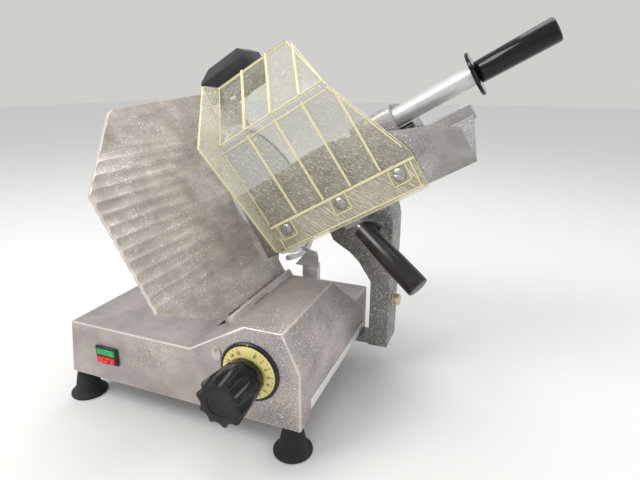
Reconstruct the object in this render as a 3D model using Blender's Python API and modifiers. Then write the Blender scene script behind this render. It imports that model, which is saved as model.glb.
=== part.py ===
"""Gravity-feed meat slicer: an electric slicer with a tilted round blade, a sliding gauge plate and a carriage.

Two frames are used. The level frame has x to the right and y to the rear from the base's front left corner, and z
up from the table. The slope frame is turned 30 degrees about y: s runs up the food slope, square to the blade, and
n stands square to the slope. In it the blade, the gauge plate and the tray are all straight. Lengths are in metres.
"""

from math import acos, atan2, cos, hypot, pi, radians, sin, tan

import bmesh
import bpy
from mathutils import Matrix, Vector

TILT = radians(30)  # of the blade from upright

GAP = 0.0003  # between touching pieces
RUN = 0.0005  # between a shaft and a bore that it turns in

# Base casting
BASE_W = 0.355
BASE_D = 0.268
BASE_BOTTOM = 0.037
DECK_Z = 0.1184
HUMP_Z = 0.1633
HUMP_RIGHT = BASE_W - 0.022
CHAMFER_Z = 0.1163
LEFT_LEAN = 0.012
HUMP_BACK = 0.165
WALL = 0.004
COVER_T = 0.002
COVER_RIGHT = BASE_W - 0.050
CORNER = 0.0305
CORNER_TOP = 0.060

# Feet
FOOT_R = 0.025
FOOT_STEM_R = 0.011
FOOT_INSET = 0.0165
FOOT_LEFT_X = 0.007
FOOT_RIGHT_X = BASE_W - 0.018
FOOT_LOW = -0.0055
FOOT_STUD_R = 0.003
FOOT_REAR_RIGHT_X = BASE_W - 0.070

# Blade and its drive
BLADE_R = 0.115
BLADE_Y = 0.304
BLADE_N = 0.134
BLADE_S = 0.2700
SPINDLE_R = 0.0075
BLADE_PULLEY_R = 0.030
MOTOR_PULLEY_R = 0.013
BELT_T = 0.0025
BELT_S = 0.226
BELT_W = 0.008
MOTOR_R = 0.035
MOTOR_Y = 0.148
MOTOR_N = -0.044
MOTOR_S0 = 0.240
MOTOR_S1 = 0.312
MOTOR_SHAFT_R = 0.005
COLUMN_S0 = 0.205
COLUMN_S1 = 0.244
COLUMN_R = 0.056
COLUMN_WALL = 0.004
RING_R = BLADE_R + 0.0025
RING_T = 0.0075

# Gauge plate and its adjuster
PLATE_S = 0.2715
PLATE_T = 0.0065
PLATE_BLADE_GAP = 0.002
GAUGE_TRAVEL = 0.015
LEG_T = 0.009
LEG_Y0 = 0.060
LEG_Y1 = 0.090
GAUGE_ROD_R = 0.007
GAUGE_ROD_N = -0.030
KNOB_X = 0.2904
KNOB_Z = 0.1066
KNOB_FRONT = 0.0645
KNOB_R = 0.0285
DIAL_R = 0.03875
SHAFT_R = 0.005
KNOB_TURN = radians(337)
CAM_R = 0.012
CAM_Y = 0.041
CAM_T = 0.012
FOLLOWER_R = 0.0025

# Carriage
ROD_R = 0.006
ROD_X = BASE_W - 0.012
ROD_Z = 0.047
SLOT_TOP = 0.050
BLOCK_Y0 = BASE_D - 0.042
BLOCK_Y1 = BASE_D - 0.007
ARM_X0 = BASE_W + 0.017
ARM_X1 = ARM_X0 + 0.029
ARM_D = 0.057
TRAY_Y = 0.185
TRAY_WALL = 0.004
TRAY_S0 = 0.280
TRAY_S1 = 0.612
TRAY_N = 0.046
TRAY_DEPTH = 0.185
TRAY_RISE = radians(14)
TRAY_RIBS = 11
PAD_N = 0.047
GUARD_T = 0.004
GUARD_S0 = 0.308
FLANGE_T = 0.004
HANDLE_START = Vector((0.367, 0.189, 0.238))
HANDLE_END = Vector((0.456, 0.152, 0.179))

# Pusher
PUSH_ROD_R = 0.006
PUSH_ROD_Y = 0.398
PUSH_ROD_N = 0.095
PUSH_S0 = 0.476
PUSH_S1 = 0.534
BUSH_T = 0.0025
TUBE_R = 0.013
TUBE_Y = 0.240
TUBE_N = 0.1365
TUBE_END = 0.6455
DISC_R = 0.029
GRIP_R = 0.0145
GRIP_END = 0.750

# Sharpener
SHARP_Y0 = 0.286
SHARP_Y1 = 0.346
SHARP_N = 0.3003
SHARP_WALL = 0.0025
STONE_R = 0.0145

# Switch
SWITCH_X = 0.05075 + 0.020
SWITCH_Z = 0.07825
SWITCH_W = 0.0365
SWITCH_H = 0.0255
BUTTON_W = 0.0295
BUTTON_H = 0.0087

for old in list(bpy.data.objects):
    bpy.data.objects.remove(old)

parts = bpy.data.collections.new("meat_slicer")
cutters = bpy.data.collections.new("cutters")
bpy.context.scene.collection.children.link(parts)
bpy.context.scene.collection.children.link(cutters)

LEVEL = Matrix.Identity(4)
SLOPE = Matrix.Rotation(-TILT, 4, "Y")

# Each outline or turned profile is drawn in local X and Y, or X and Z, and stands along one of these.
ALONG = {
    "s": Matrix(((0, 0, 1, 0), (1, 0, 0, 0), (0, 1, 0, 0), (0, 0, 0, 1))),
    "y": Matrix(((1, 0, 0, 0), (0, 0, -1, 0), (0, 1, 0, 0), (0, 0, 0, 1))),
    "z": Matrix.Identity(4),
}

COLOURS = {
    "cast_aluminium": ((0.45, 0.44, 0.43), 0.42, 0.9),
    "anodised_plate": ((0.58, 0.56, 0.55), 0.35, 0.9),
    "steel": ((0.62, 0.62, 0.61), 0.25, 1.0),
    "blade_steel": ((0.70, 0.70, 0.70), 0.18, 1.0),
    "zinc": ((0.60, 0.52, 0.36), 0.4, 1.0),
    "bronze": ((0.55, 0.38, 0.20), 0.4, 1.0),
    "clear_guard": ((0.80, 0.74, 0.52), 0.3, 0.0),
    "black_plastic": ((0.012, 0.012, 0.013), 0.25, 0.0),
    "dial_yellow": ((0.86, 0.76, 0.36), 0.4, 0.0),
    "green_plastic": ((0.01, 0.32, 0.07), 0.3, 0.0),
    "red_plastic": ((0.62, 0.02, 0.02), 0.3, 0.0),
    "rubber": ((0.02, 0.02, 0.02), 0.8, 0.0),
    "stone": ((0.35, 0.28, 0.26), 0.9, 0.0),
    "motor_paint": ((0.10, 0.11, 0.12), 0.5, 0.0),
    "nylon": ((0.75, 0.74, 0.70), 0.5, 0.0),
}


def make_material(name):
    colour, roughness, metallic = COLOURS[name]
    material = bpy.data.materials.new(name)
    material.use_nodes = True
    shader = material.node_tree.nodes["Principled BSDF"]
    shader.inputs["Base Color"].default_value = (*colour, 1.0)
    shader.inputs["Roughness"].default_value = roughness
    shader.inputs["Metallic"].default_value = metallic
    return material


materials = {name: make_material(name) for name in COLOURS}
placed = {}


def pivot(name, where, parent=None):
    """An empty on a joint's axis. Its place is kept, so that pieces can be set down in the frames above."""
    empty = bpy.data.objects.new(name, None)
    empty.empty_display_size = 0.03
    parts.objects.link(empty)
    if parent:
        empty.parent = parent
    empty.matrix_basis = (placed[parent.name].inverted() if parent else LEVEL) @ where
    placed[name] = where
    return empty


def set_down(name, mesh, where, parent, material, group=parts):
    obj = bpy.data.objects.new(name, mesh)
    group.objects.link(obj)
    obj.parent = parent
    obj.matrix_basis = placed[parent.name].inverted() @ where
    if group is cutters:
        obj.hide_render = True
        obj.display_type = "WIRE"
    if material:
        mesh.materials.append(materials[material])
    return obj


def soften(obj, width, segments=1, angle=30):
    bevel = obj.modifiers.new("rounded edges", "BEVEL")
    bevel.width = width
    bevel.segments = segments
    bevel.limit_method = "ANGLE"
    bevel.angle_limit = radians(angle)


def box(name, low, high, frame, parent, material, group=parts):
    bm = bmesh.new()
    bmesh.ops.create_cube(bm, size=1)
    size = Vector(high) - Vector(low)
    bmesh.ops.scale(bm, vec=size, verts=bm.verts)
    mesh = bpy.data.meshes.new(name)
    bm.to_mesh(mesh)
    bm.free()
    middle = (Vector(high) + Vector(low)) / 2
    return set_down(name, mesh, frame @ Matrix.Translation(middle), parent, material, group)


def rod(name, start, end, radius, frame, parent, material, group=parts, sides=24, top=None):
    """A straight round bar between two points; top is its radius at the end, where that differs."""
    start, end = Vector(start), Vector(end)
    bm = bmesh.new()
    bmesh.ops.create_cone(
        bm,
        cap_ends=True,
        segments=sides,
        radius1=radius,
        radius2=radius if top is None else top,
        depth=(end - start).length,
    )
    mesh = bpy.data.meshes.new(name)
    bm.to_mesh(mesh)
    bm.free()
    mesh.shade_smooth()
    mesh.set_sharp_from_angle(angle=radians(40))
    turn = (end - start).to_track_quat("Z", "Y").to_matrix().to_4x4()
    where = frame @ Matrix.Translation((start + end) / 2) @ turn
    return set_down(name, mesh, where, parent, material, group)


def turned(name, profile, centre, along, frame, parent, material, group=parts, steps=32):
    """A lathe piece. The profile lists radius and height, down the outer side and, if hollow, up the bore."""
    mesh = bpy.data.meshes.new(name)
    bm = bmesh.new()
    points = [bm.verts.new((r, 0, h)) for r, h in profile]
    for a, b in zip(points, points[1:]):
        bm.edges.new((a, b))
    if min(r for r, h in profile) > 0:
        bm.edges.new((points[-1], points[0]))
    bm.to_mesh(mesh)
    bm.free()
    obj = set_down(name, mesh, frame @ Matrix.Translation(centre) @ ALONG[along], parent, material, group)
    screw = obj.modifiers.new("turned", "SCREW")
    screw.steps = steps
    screw.render_steps = steps
    screw.use_merge_vertices = True
    screw.merge_threshold = 0.00001
    return obj


def outline_mesh(name, contours, thickness):
    """Fills one closed outline, less any further ones inside it, and makes it a slab of this thickness."""
    curve = bpy.data.curves.new(name, "CURVE")
    curve.dimensions = "2D"
    curve.fill_mode = "BOTH"
    curve.extrude = thickness / 2
    for contour in contours:
        spline = curve.splines.new("POLY")
        spline.points.add(len(contour) - 1)
        for point, (u, v) in zip(spline.points, contour):
            point.co = (u, v, 0, 1)
        spline.use_cyclic_u = True
    drawn = bpy.data.objects.new(name + " outline", curve)
    cutters.objects.link(drawn)
    bpy.context.view_layer.update()
    graph = bpy.context.evaluated_depsgraph_get()
    mesh = bpy.data.meshes.new_from_object(drawn.evaluated_get(graph))
    bpy.data.objects.remove(drawn)
    bpy.data.curves.remove(curve)
    bm = bmesh.new()
    bm.from_mesh(mesh)
    bmesh.ops.remove_doubles(bm, verts=bm.verts, dist=0.00001)
    bmesh.ops.recalc_face_normals(bm, faces=bm.faces)
    bm.to_mesh(mesh)
    bm.free()
    mesh.name = name
    return mesh


def slab(name, contours, along, low, high, frame, parent, material, group=parts):
    """An outline with thickness. Along s it is drawn in y and n, along y in x and z (or s and n)."""
    mesh = outline_mesh(name, contours, high - low)
    middle = (low + high) / 2
    offset = {"s": (middle, 0, 0), "y": (0, middle, 0), "z": (0, 0, middle)}[along]
    return set_down(name, mesh, frame @ Matrix.Translation(offset) @ ALONG[along], parent, material, group)


def combine(obj, tool, operation):
    change = obj.modifiers.new(operation.lower(), "BOOLEAN")
    change.operation = operation
    change.object = tool


def cut(obj, tool):
    combine(obj, tool, "DIFFERENCE")


def add(obj, tool):
    combine(obj, tool, "UNION")


def drill(obj, start, end, radius, frame, parent, sides=24):
    tool = rod(obj.name + " bore", start, end, radius, frame, parent, None, cutters, sides)
    cut(obj, tool)


def cut_box(obj, low, high, frame, parent):
    cut(obj, box(obj.name + " cut", low, high, frame, parent, None, cutters))


def add_box(obj, low, high, frame, parent):
    add(obj, box(obj.name + " web", low, high, frame, parent, None, cutters))


def offset_outline(points, distance):
    """Moves each side of a clockwise or anticlockwise polygon outwards by a distance, or inwards if negative."""
    area = sum(a[0] * b[1] - b[0] * a[1] for a, b in zip(points, points[1:] + points[:1]))
    side = 1 if area > 0 else -1
    moved = []
    for i, here in enumerate(points):
        before = Vector(here) - Vector(points[i - 1])
        after = Vector(points[(i + 1) % len(points)]) - Vector(here)
        n1 = Vector((before.y, -before.x)).normalized() * side
        n2 = Vector((after.y, -after.x)).normalized() * side
        corner = (n1 + n2).normalized()
        moved.append(tuple(Vector(here) + corner * (distance / corner.dot(n1))))
    return moved


def arc(centre, radius, start, end, steps):
    return [
        (
            centre[0] + radius * cos(radians(start + (end - start) * i / steps)),
            centre[1] + radius * sin(radians(start + (end - start) * i / steps)),
        )
        for i in range(steps + 1)
    ]


def round_pair(first, r1, second, r2, steps=24):
    """The outline of a band pulled round two circles, such as a belt."""
    along = atan2(second[1] - first[1], second[0] - first[0])
    length = hypot(second[0] - first[0], second[1] - first[1])
    lean = acos((r1 - r2) / length)
    a, b = (along + lean) * 180 / pi, (along - lean) * 180 / pi
    return arc(second, r2, b, a, steps) + arc(first, r1, a, b + 360, steps)


def ribbon(path, thickness):
    """A bent sheet's section: the path is its middle line."""
    left, right = [], []
    for i, here in enumerate(path):
        here = Vector(here)
        sides = []
        if i > 0:
            sides.append((here - Vector(path[i - 1])).normalized())
        if i < len(path) - 1:
            sides.append((Vector(path[i + 1]) - here).normalized())
        normals = [Vector((-d.y, d.x)) for d in sides]
        across = sum(normals, Vector((0, 0))).normalized()
        reach = thickness / 2 / across.dot(normals[0])
        left.append(tuple(here + across * reach))
        right.append(tuple(here - across * reach))
    return left + right[::-1]


root = pivot("slicer_origin", LEVEL)
slope_z = DECK_Z / tan(TILT)
hump_x = HUMP_Z / tan(TILT)

# Base: one casting, open below, with the drive under its hump.
base_outline = [
    (0, BASE_BOTTOM),
    (LEFT_LEAN, DECK_Z),
    (slope_z, DECK_Z),
    (hump_x, HUMP_Z),
    (HUMP_RIGHT, HUMP_Z),
    (BASE_W, CHAMFER_Z),
    (BASE_W, BASE_BOTTOM),
]


def hump_cut(name, shift):
    """The wedge over the rear deck, which takes the hump down at 45 degrees."""
    top = HUMP_Z + 0.02
    reach = BASE_D + 0.03
    low = DECK_Z + shift
    back = HUMP_BACK + HUMP_Z - DECK_Z + shift * (2**0.5 - 1)
    side = [(back, low), (back - (top - low), top), (reach, top), (reach, low)]
    mesh_side = [(y, z) for y, z in side]
    mesh = outline_mesh(name, [mesh_side], 2 * BASE_W)
    return set_down(name, mesh, Matrix.Translation((BASE_W / 2, 0, 0)) @ ALONG["s"], root, None, cutters)


def base_form(name, shift, front, back, group=cutters, material=None):
    """The base's outer form, or one moved out or in by shift."""
    outline = offset_outline(base_outline, shift) if shift else list(base_outline)
    if shift < 0:
        outline = [(x, z - 0.02 if z < BASE_BOTTOM + 0.01 else z) for x, z in outline]
    form = slab(name, [outline], "y", front, back, LEVEL, root, material, group)
    cut(form, hump_cut(name + " hump", shift))
    return form


housing = base_form("base_housing", 0, 0, BASE_D, parts, "cast_aluminium")
soften(housing, 0.002, 2)
cut(housing, base_form("base cavity", -WALL, WALL, BASE_D - WALL))

block_low = BASE_BOTTOM + COVER_T + 2 * GAP
for x0, x1, y0, y1, low in (
    (WALL - 0.001, 0.036, WALL - 0.001, CORNER, block_low),
    (WALL - 0.001, 0.036, BASE_D - CORNER, BASE_D - WALL + 0.001, block_low),
    (COVER_RIGHT, BASE_W - 0.003, WALL - 0.001, CORNER, BASE_BOTTOM),
    (FOOT_REAR_RIGHT_X - 0.014, FOOT_REAR_RIGHT_X + 0.014, BASE_D - 0.031, BASE_D - WALL + 0.001, block_low),
    (COVER_RIGHT, BASE_W - 0.003, BLOCK_Y1 + GAP, BASE_D - WALL + 0.001, BASE_BOTTOM),
):
    add_box(housing, (x0, y0, low), (x1, y1, CORNER_TOP), LEVEL, root)
cut_box(
    housing,
    (BASE_W - WALL - 0.0005, CORNER + 0.0005, BASE_BOTTOM - 0.01),
    (BASE_W + 0.01, BASE_D - 0.005, SLOT_TOP),
    LEVEL,
    root,
)

# Lip along the foot of the gauge plate, and the hangers that carry the gauge rod.
lip = box("lip", (PLATE_S + 0.0012, 0.042, -0.004), (0.2830, 0.222, 0.0088), SLOPE, root, None, cutters)
soften(lip, 0.0028, 3)
add(housing, lip)
hanger_s = 0.218
add_box(housing, (0.208, LEG_Y0, -0.040), (hanger_s, LEG_Y1, 0.0100), SLOPE, root)
add_box(housing, (0.310, LEG_Y0, -0.040), (0.318, LEG_Y1, -0.002), SLOPE, root)
leg_s1 = PLATE_S - PLATE_T - GAP
leg_s0 = leg_s1 - LEG_T
cut_box(
    housing,
    (leg_s0 - GAUGE_TRAVEL - 0.0015, LEG_Y0 - 0.002, -0.008),
    (leg_s1 + 0.0015, LEG_Y1 + 0.002, 0.004),
    SLOPE,
    root,
)
drill(housing, (0.2115, 0.075, GAUGE_ROD_N), (0.3145, 0.075, GAUGE_ROD_N), GAUGE_ROD_R + GAP, SLOPE, root)

# Blade column: a hollow casting on the deck that leans back to the blade's spindle and holds the belt.
hub = (BLADE_Y, BLADE_N)


def column_outline(radius, low, inset):
    """A foot on the deck and a round head at the spindle, joined by tangent sides."""
    left, right = (0.128 + inset, low), (0.226 - inset, low)
    corners = []
    for foot, turn in ((right, 1), (left, -1)):
        away = hypot(foot[0] - hub[0], foot[1] - hub[1])
        facing = atan2(foot[1] - hub[1], foot[0] - hub[0])
        corners.append((facing + turn * acos(radius / away)) * 180 / pi)
    start, end = corners
    if end < start:
        end += 360
    return [right] + arc(hub, radius, start, end, 28) + [left]


column = slab(
    "blade_column",
    [column_outline(COLUMN_R, -0.012, 0)],
    "s",
    COLUMN_S0,
    COLUMN_S1,
    SLOPE,
    root,
    "cast_aluminium",
)
column_cavity = slab(
    "column cavity",
    [column_outline(COLUMN_R - COLUMN_WALL, -0.030, 0.006)],
    "s",
    COLUMN_S0 + COLUMN_WALL,
    COLUMN_S1 - COLUMN_WALL,
    SLOPE,
    root,
    None,
    cutters,
)
bearing_s1 = 0.256
boss = rod(
    "spindle boss",
    (COLUMN_S1 - 0.004, *hub),
    (bearing_s1, *hub),
    0.026,
    SLOPE,
    root,
    None,
    cutters,
    32,
)
add(column, boss)
cut(column, column_cavity)
clearance = base_form("base clearance", GAP, -GAP, BASE_D + GAP)
soften(clearance, 0.0023, 2)
cut(column, clearance)
bearing_r = 0.016
drill(column, (COLUMN_S1 - 0.010, *hub), (bearing_s1 + 0.01, *hub), bearing_r + GAP, SLOPE, root, 32)
cut(housing, column_cavity)

bearings = turned(
    "spindle_bearings",
    [
        (bearing_r, 0.0195),
        (bearing_r, 0),
        (SPINDLE_R + RUN, 0),
        (SPINDLE_R + RUN, 0.0195),
    ],
    (bearing_s1 - 0.020, *hub),
    "s",
    SLOPE,
    root,
    "steel",
)

# Blade body: disc, spindle with its flange, nut and pulley, all turning about the spindle.
spin = pivot("blade_axis", SLOPE @ Matrix.Translation((BLADE_S, *hub)), root)
blade_back = BLADE_S - 0.0044
turned(
    "blade",
    [
        (0.030, 0.0012),
        (BLADE_R - 0.010, 0.0034),
        (BLADE_R, 0.0044),
        (BLADE_R, 0.0040),
        (BLADE_R - 0.015, 0.0006),
        (BLADE_R - 0.060, 0),
        (SPINDLE_R + GAP, 0),
        (SPINDLE_R + GAP, 0.0012),
    ],
    (blade_back, *hub),
    "s",
    SLOPE,
    spin,
    "blade_steel",
    steps=64,
)
turned(
    "spindle",
    [
        (0, blade_back + 0.0012),
        (SPINDLE_R, blade_back + 0.0012),
        (SPINDLE_R, blade_back - GAP),
        (0.030, blade_back - GAP),
        (0.030, blade_back - 0.006),
        (0.012, bearing_s1 + 0.0012),
        (SPINDLE_R, bearing_s1 + 0.0012),
        (SPINDLE_R, 0.2140),
        (0, 0.2140),
    ],
    (0, *hub),
    "s",
    SLOPE,
    spin,
    "steel",
)
turned(
    "blade_nut",
    [(0, 0.0026), (0.016, 0.0026), (0.020, 0.0012), (0.020, 0), (0, 0)],
    (blade_back + 0.0012 + GAP, *hub),
    "s",
    SLOPE,
    spin,
    "steel",
)


def pulley(name, radius, bore, centre, parent):
    """A flat pulley with a rim each side of the belt."""
    half = BELT_W / 2 + 0.0006
    rim = radius + BELT_T + 0.001
    return turned(
        name,
        [
            (rim, half + 0.0025),
            (rim, half),
            (radius, half),
            (radius, -half),
            (rim, -half),
            (rim, -half - 0.0025),
            (bore, -half - 0.0025),
            (bore, half + 0.0025),
        ],
        (BELT_S, *centre),
        "s",
        SLOPE,
        parent,
        "black_plastic",
    )


pulley("blade_pulley", BLADE_PULLEY_R, SPINDLE_R + GAP, hub, spin)

motor_at = (MOTOR_Y, MOTOR_N)
belt = slab(
    "drive_belt",
    [
        round_pair(motor_at, MOTOR_PULLEY_R + GAP + BELT_T, hub, BLADE_PULLEY_R + GAP + BELT_T),
        round_pair(motor_at, MOTOR_PULLEY_R + GAP, hub, BLADE_PULLEY_R + GAP)[::-1],
    ],
    "s",
    BELT_S - BELT_W / 2,
    BELT_S + BELT_W / 2,
    SLOPE,
    root,
    "rubber",
)

# Motor under the slope, on a saddle.
motor = turned(
    "motor_body",
    [
        (0, MOTOR_S1),
        (MOTOR_R - 0.006, MOTOR_S1),
        (MOTOR_R, MOTOR_S1 - 0.006),
        (MOTOR_R, MOTOR_S0 + 0.006),
        (MOTOR_R - 0.006, MOTOR_S0),
        (0, MOTOR_S0),
    ],
    (0, *motor_at),
    "s",
    SLOPE,
    root,
    "motor_paint",
)
drill(motor, (MOTOR_S0 - 0.01, *motor_at), (MOTOR_S1 - 0.012, *motor_at), MOTOR_SHAFT_R + RUN, SLOPE, root)
saddle = box("motor_bracket", (0.250, 0.124, -0.022), (0.300, 0.172, -WALL - GAP), SLOPE, root, "steel")
drill(saddle, (0.240, *motor_at), (0.310, *motor_at), MOTOR_R + GAP, SLOPE, root, 48)
rotor = pivot("motor_axis", SLOPE @ Matrix.Translation((MOTOR_S0, *motor_at)), root)
rod("motor_shaft", (0.2180, *motor_at), (MOTOR_S1 - 0.017, *motor_at), MOTOR_SHAFT_R, SLOPE, rotor, "steel")
pulley("motor_pulley", MOTOR_PULLEY_R, MOTOR_SHAFT_R + GAP, motor_at, rotor)

# Ring guard: a band round the blade's rear, on a web bolted to the column's face.
band = (
    arc(hub, RING_R + RING_T, -112, 105, 40)
    + arc(hub, RING_R, -112, 105, 40)[::-1]
)
ring = slab("blade_ring_guard", [band], "s", 0.262, 0.2725, SLOPE, root, "anodised_plate")
web_s = COLUMN_S1 + GAP
web = (
    arc(hub, RING_R + RING_T, -60, 60, 20)
    + arc(hub, 0.035, -60, 60, 10)[::-1]
)
add(ring, slab("ring web", [web], "s", web_s, web_s + 0.003, SLOPE, root, None, cutters))
rear_band = (
    arc(hub, RING_R + RING_T, -60, 60, 20)
    + arc(hub, RING_R, -60, 60, 20)[::-1]
)
add(ring, slab("ring wall", [rear_band], "s", web_s, 0.266, SLOPE, root, None, cutters))

deflector = slab(
    "slice_deflector",
    [[(0.215, 0.100), (0.272, 0.092), (0.272, 0.176), (0.215, 0.168)]],
    "s",
    web_s,
    web_s + 0.002,
    SLOPE,
    root,
    "anodised_plate",
)

# Sharpener on top of the ring guard: two stones on one pin, under a hinged black cover.
sharp_base = box("sharpener_base", (0.2450, 0.282, 0.245), (0.2720, 0.353, 0.300), SLOPE, root, "cast_aluminium")
drill(sharp_base, (0.235, *hub), (0.285, *hub), RING_R + RING_T + GAP, SLOPE, root, 96)
cut_box(sharp_base, (0.240, 0.3465, 0.240), (0.280, 0.360, 0.284), SLOPE, root)
add_box(sharp_base, (0.262, 0.3045, 0.299), (0.2720, 0.328, 0.3395), SLOPE, root)
add_box(sharp_base, (0.256, 0.3465, 0.286), (0.2720, 0.353, 0.3085), SLOPE, root)
stone_at = (0.314, 0.331)
hinge_at = (0.3497, 0.304)
add(sharp_base, rod("stone pin", (0.271, *stone_at), (0.2935, *stone_at), 0.003, SLOPE, root, None, cutters))
add(sharp_base, rod("hinge pin", (0.271, *hinge_at), (0.297, *hinge_at), 0.0016, SLOPE, root, None, cutters, 12))
for name, low in (("sharpening_stone", 0.2730), ("honing_stone", 0.2830)):
    stone_axis = pivot(name + "_axis", SLOPE @ Matrix.Translation((low, *stone_at)), root)
    turned(
        name,
        [
            (STONE_R - 0.002, 0.008),
            (STONE_R, 0.004),
            (STONE_R - 0.002, 0),
            (0.003 + RUN, 0),
            (0.003 + RUN, 0.008),
        ],
        (low, *stone_at),
        "s",
        SLOPE,
        stone_axis,
        "stone",
    )
cover_axis = pivot("sharpener_cover_axis", SLOPE @ Matrix.Translation((0.2745, *hinge_at)), root)
cover_outline = [
    (0.2575, 0.346),
    (0.273, 0.3615),
    (0.338, 0.3615),
    (0.352, 0.348),
    (0.352, 0.325),
    (0.340, SHARP_N),
    (0.2575, SHARP_N),
]


def brow(name, inset):
    """The wedge that slants the cover's upper front, moved in by inset."""
    y, n = SHARP_Y0 + inset * 0.72, 0.341 - inset * 0.69
    edge = [(y - 0.038, n - 0.040), (y + 0.057, n + 0.060), (y - 0.038, n + 0.060)]
    return slab(name, [edge], "s", 0.240, 0.370, SLOPE, cover_axis, None, cutters)


cover = slab("sharpener_cover", [cover_outline], "y", SHARP_Y0, SHARP_Y1, SLOPE, cover_axis, "black_plastic")
cut(cover, brow("cover brow", 0))
cover_inside = [(s, n - 0.02 if n < SHARP_N + 0.01 else n) for s, n in offset_outline(cover_outline, -SHARP_WALL)]
hollow = slab(
    "cover cavity",
    [cover_inside],
    "y",
    SHARP_Y0 + SHARP_WALL,
    SHARP_Y1 - SHARP_WALL,
    SLOPE,
    cover_axis,
    None,
    cutters,
)
cut(hollow, brow("cavity brow", SHARP_WALL))
cut(cover, hollow)
cut_box(cover, (0.2535, 0.340, 0.297), (0.2745, 0.352, 0.3125), SLOPE, cover_axis)
add(
    cover,
    rod("knuckle", (0.2750, *hinge_at), (0.300, *hinge_at), 0.0045, SLOPE, cover_axis, None, cutters, 16),
)
drill(cover, (0.270, *hinge_at), (0.298, *hinge_at), 0.0016 + RUN, SLOPE, cover_axis, 16)

# Gauge plate, its carrier on a rod under the slope, and the follower that the cam pushes.
gauge = pivot("gauge_axis", SLOPE @ Matrix.Translation((PLATE_S, 0.075, GAUGE_ROD_N)), root)
cut_r = BLADE_R + PLATE_BLADE_GAP
low_y, high_y = 0.2236, 0.262
start = atan2(-((cut_r**2 - (BLADE_Y - low_y) ** 2) ** 0.5), low_y - BLADE_Y) * 180 / pi
end = atan2((cut_r**2 - (BLADE_Y - high_y) ** 2) ** 0.5, high_y - BLADE_Y) * 180 / pi
flutes = 14
flute_low, flute_high = 0.0664, 0.2558
# The left edge waves a little with each flute, up to the corner where it starts to lean.
corner_n = 0.2075
left_edge = []
for i in range(2 * flutes - 1):
    n = flute_low + (flute_high - flute_low) * i / (2 * flutes - 2)
    if n < corner_n:
        left_edge.append((-0.0478 if i % 2 else -0.0466, n))
left_edge.append((-0.0478, corner_n))
plate_outline = (
    [(0.0491, 0.0093), (0.0304, 0.0128), (-0.0479, 0.0609)]
    + left_edge
    + [(0.0397, 0.2989), (0.0487, 0.3037), (high_y, 0.3190)]
    + arc(hub, cut_r, end, start + 360, 36)
    + [(low_y, 0.0075)]
)
plate = slab("gauge_plate", [plate_outline], "s", PLATE_S - PLATE_T, PLATE_S, SLOPE, gauge, "anodised_plate")
soften(plate, 0.0012, 2, 50)
carrier = box("gauge_carrier", (leg_s0, LEG_Y0, -0.014), (leg_s1, LEG_Y1, 0.060), SLOPE, gauge, "cast_aluminium")
carrier_y0 = CAM_Y + CAM_T + 0.002
follower_s = KNOB_X * cos(TILT) + KNOB_Z * sin(TILT) - CAM_R - FOLLOWER_R - 0.0004
follower_n = KNOB_Z * cos(TILT) - KNOB_X * sin(TILT)
add_box(carrier, (0.240, carrier_y0, follower_n - 0.005), (follower_s + 0.0035, 0.095, -0.012), SLOPE, gauge)
drill(carrier, (0.23, 0.075, GAUGE_ROD_N), (0.31, 0.075, GAUGE_ROD_N), GAUGE_ROD_R + RUN, SLOPE, gauge)
drill(
    carrier,
    (follower_s, carrier_y0 - 0.01, follower_n),
    (follower_s, carrier_y0 + 0.0103, follower_n),
    FOLLOWER_R - 0.0005 + GAP,
    SLOPE,
    gauge,
    16,
)
follower = rod(
    "cam_follower",
    (follower_s, carrier_y0 + 0.010, follower_n),
    (follower_s, carrier_y0 - 0.005, follower_n),
    FOLLOWER_R - 0.0005,
    SLOPE,
    gauge,
    "steel",
    sides=16,
)
add(
    follower,
    rod(
        "follower roller",
        (follower_s, carrier_y0 - GAP, follower_n),
        (follower_s, CAM_Y, follower_n),
        FOLLOWER_R,
        SLOPE,
        gauge,
        None,
        cutters,
        16,
    ),
)
screw_s = leg_s0 - GAP
gauge_screw = turned(
    "gauge_screw",
    [
        (0, 0.0130),
        (0.0025, 0.0130),
        (0.0025, 0),
        (0.0060, 0),
        (0.0060, -0.003),
        (0, -0.003),
    ],
    (screw_s, 0.075, 0.045),
    "s",
    SLOPE,
    gauge,
    "steel",
    steps=20,
)
for piece in (carrier, plate):
    drill(piece, (0.245, 0.075, 0.045), (screw_s + 0.0133, 0.075, 0.045), 0.0028, SLOPE, gauge, 20)
rod("gauge_rod", (0.2118, 0.075, GAUGE_ROD_N), (0.3142, 0.075, GAUGE_ROD_N), GAUGE_ROD_R, SLOPE, root, "steel")

# Thickness knob: knob, number ring, shaft and cam turn together.
knob_at = (KNOB_X, 0, KNOB_Z)
dial_axis = pivot("knob_axis", Matrix.Translation(knob_at), root)
drill(housing, (KNOB_X, -0.01, KNOB_Z), (KNOB_X, 0.01, KNOB_Z), SHAFT_R + RUN, LEVEL, root)
turned(
    "dial_bezel",
    [
        (DIAL_R, GAP + 0.0025),
        (DIAL_R, GAP),
        (DIAL_R - 0.0035, GAP),
        (DIAL_R - 0.0035, GAP + 0.0040),
        (DIAL_R - 0.0015, GAP + 0.0040),
    ],
    knob_at,
    "y",
    LEVEL,
    root,
    "black_plastic",
    steps=48,
)
turned(
    "dial_ring",
    [
        (DIAL_R - 0.0042, 0.0045),
        (DIAL_R - 0.0042, 0.0008),
        (SHAFT_R + GAP, 0.0008),
        (SHAFT_R + GAP, 0.0070),
        (0.024, 0.0070),
    ],
    knob_at,
    "y",
    LEVEL,
    dial_axis,
    "dial_yellow",
    steps=48,
)
lobes = 9
grip_outline = [
    (
        (KNOB_R - 0.0018 + 0.0018 * cos(lobes * t)) * cos(t),
        (KNOB_R - 0.0018 + 0.0018 * cos(lobes * t)) * sin(t),
    )
    for t in [2 * pi * i / (lobes * 8) for i in range(lobes * 8)]
]
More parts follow.
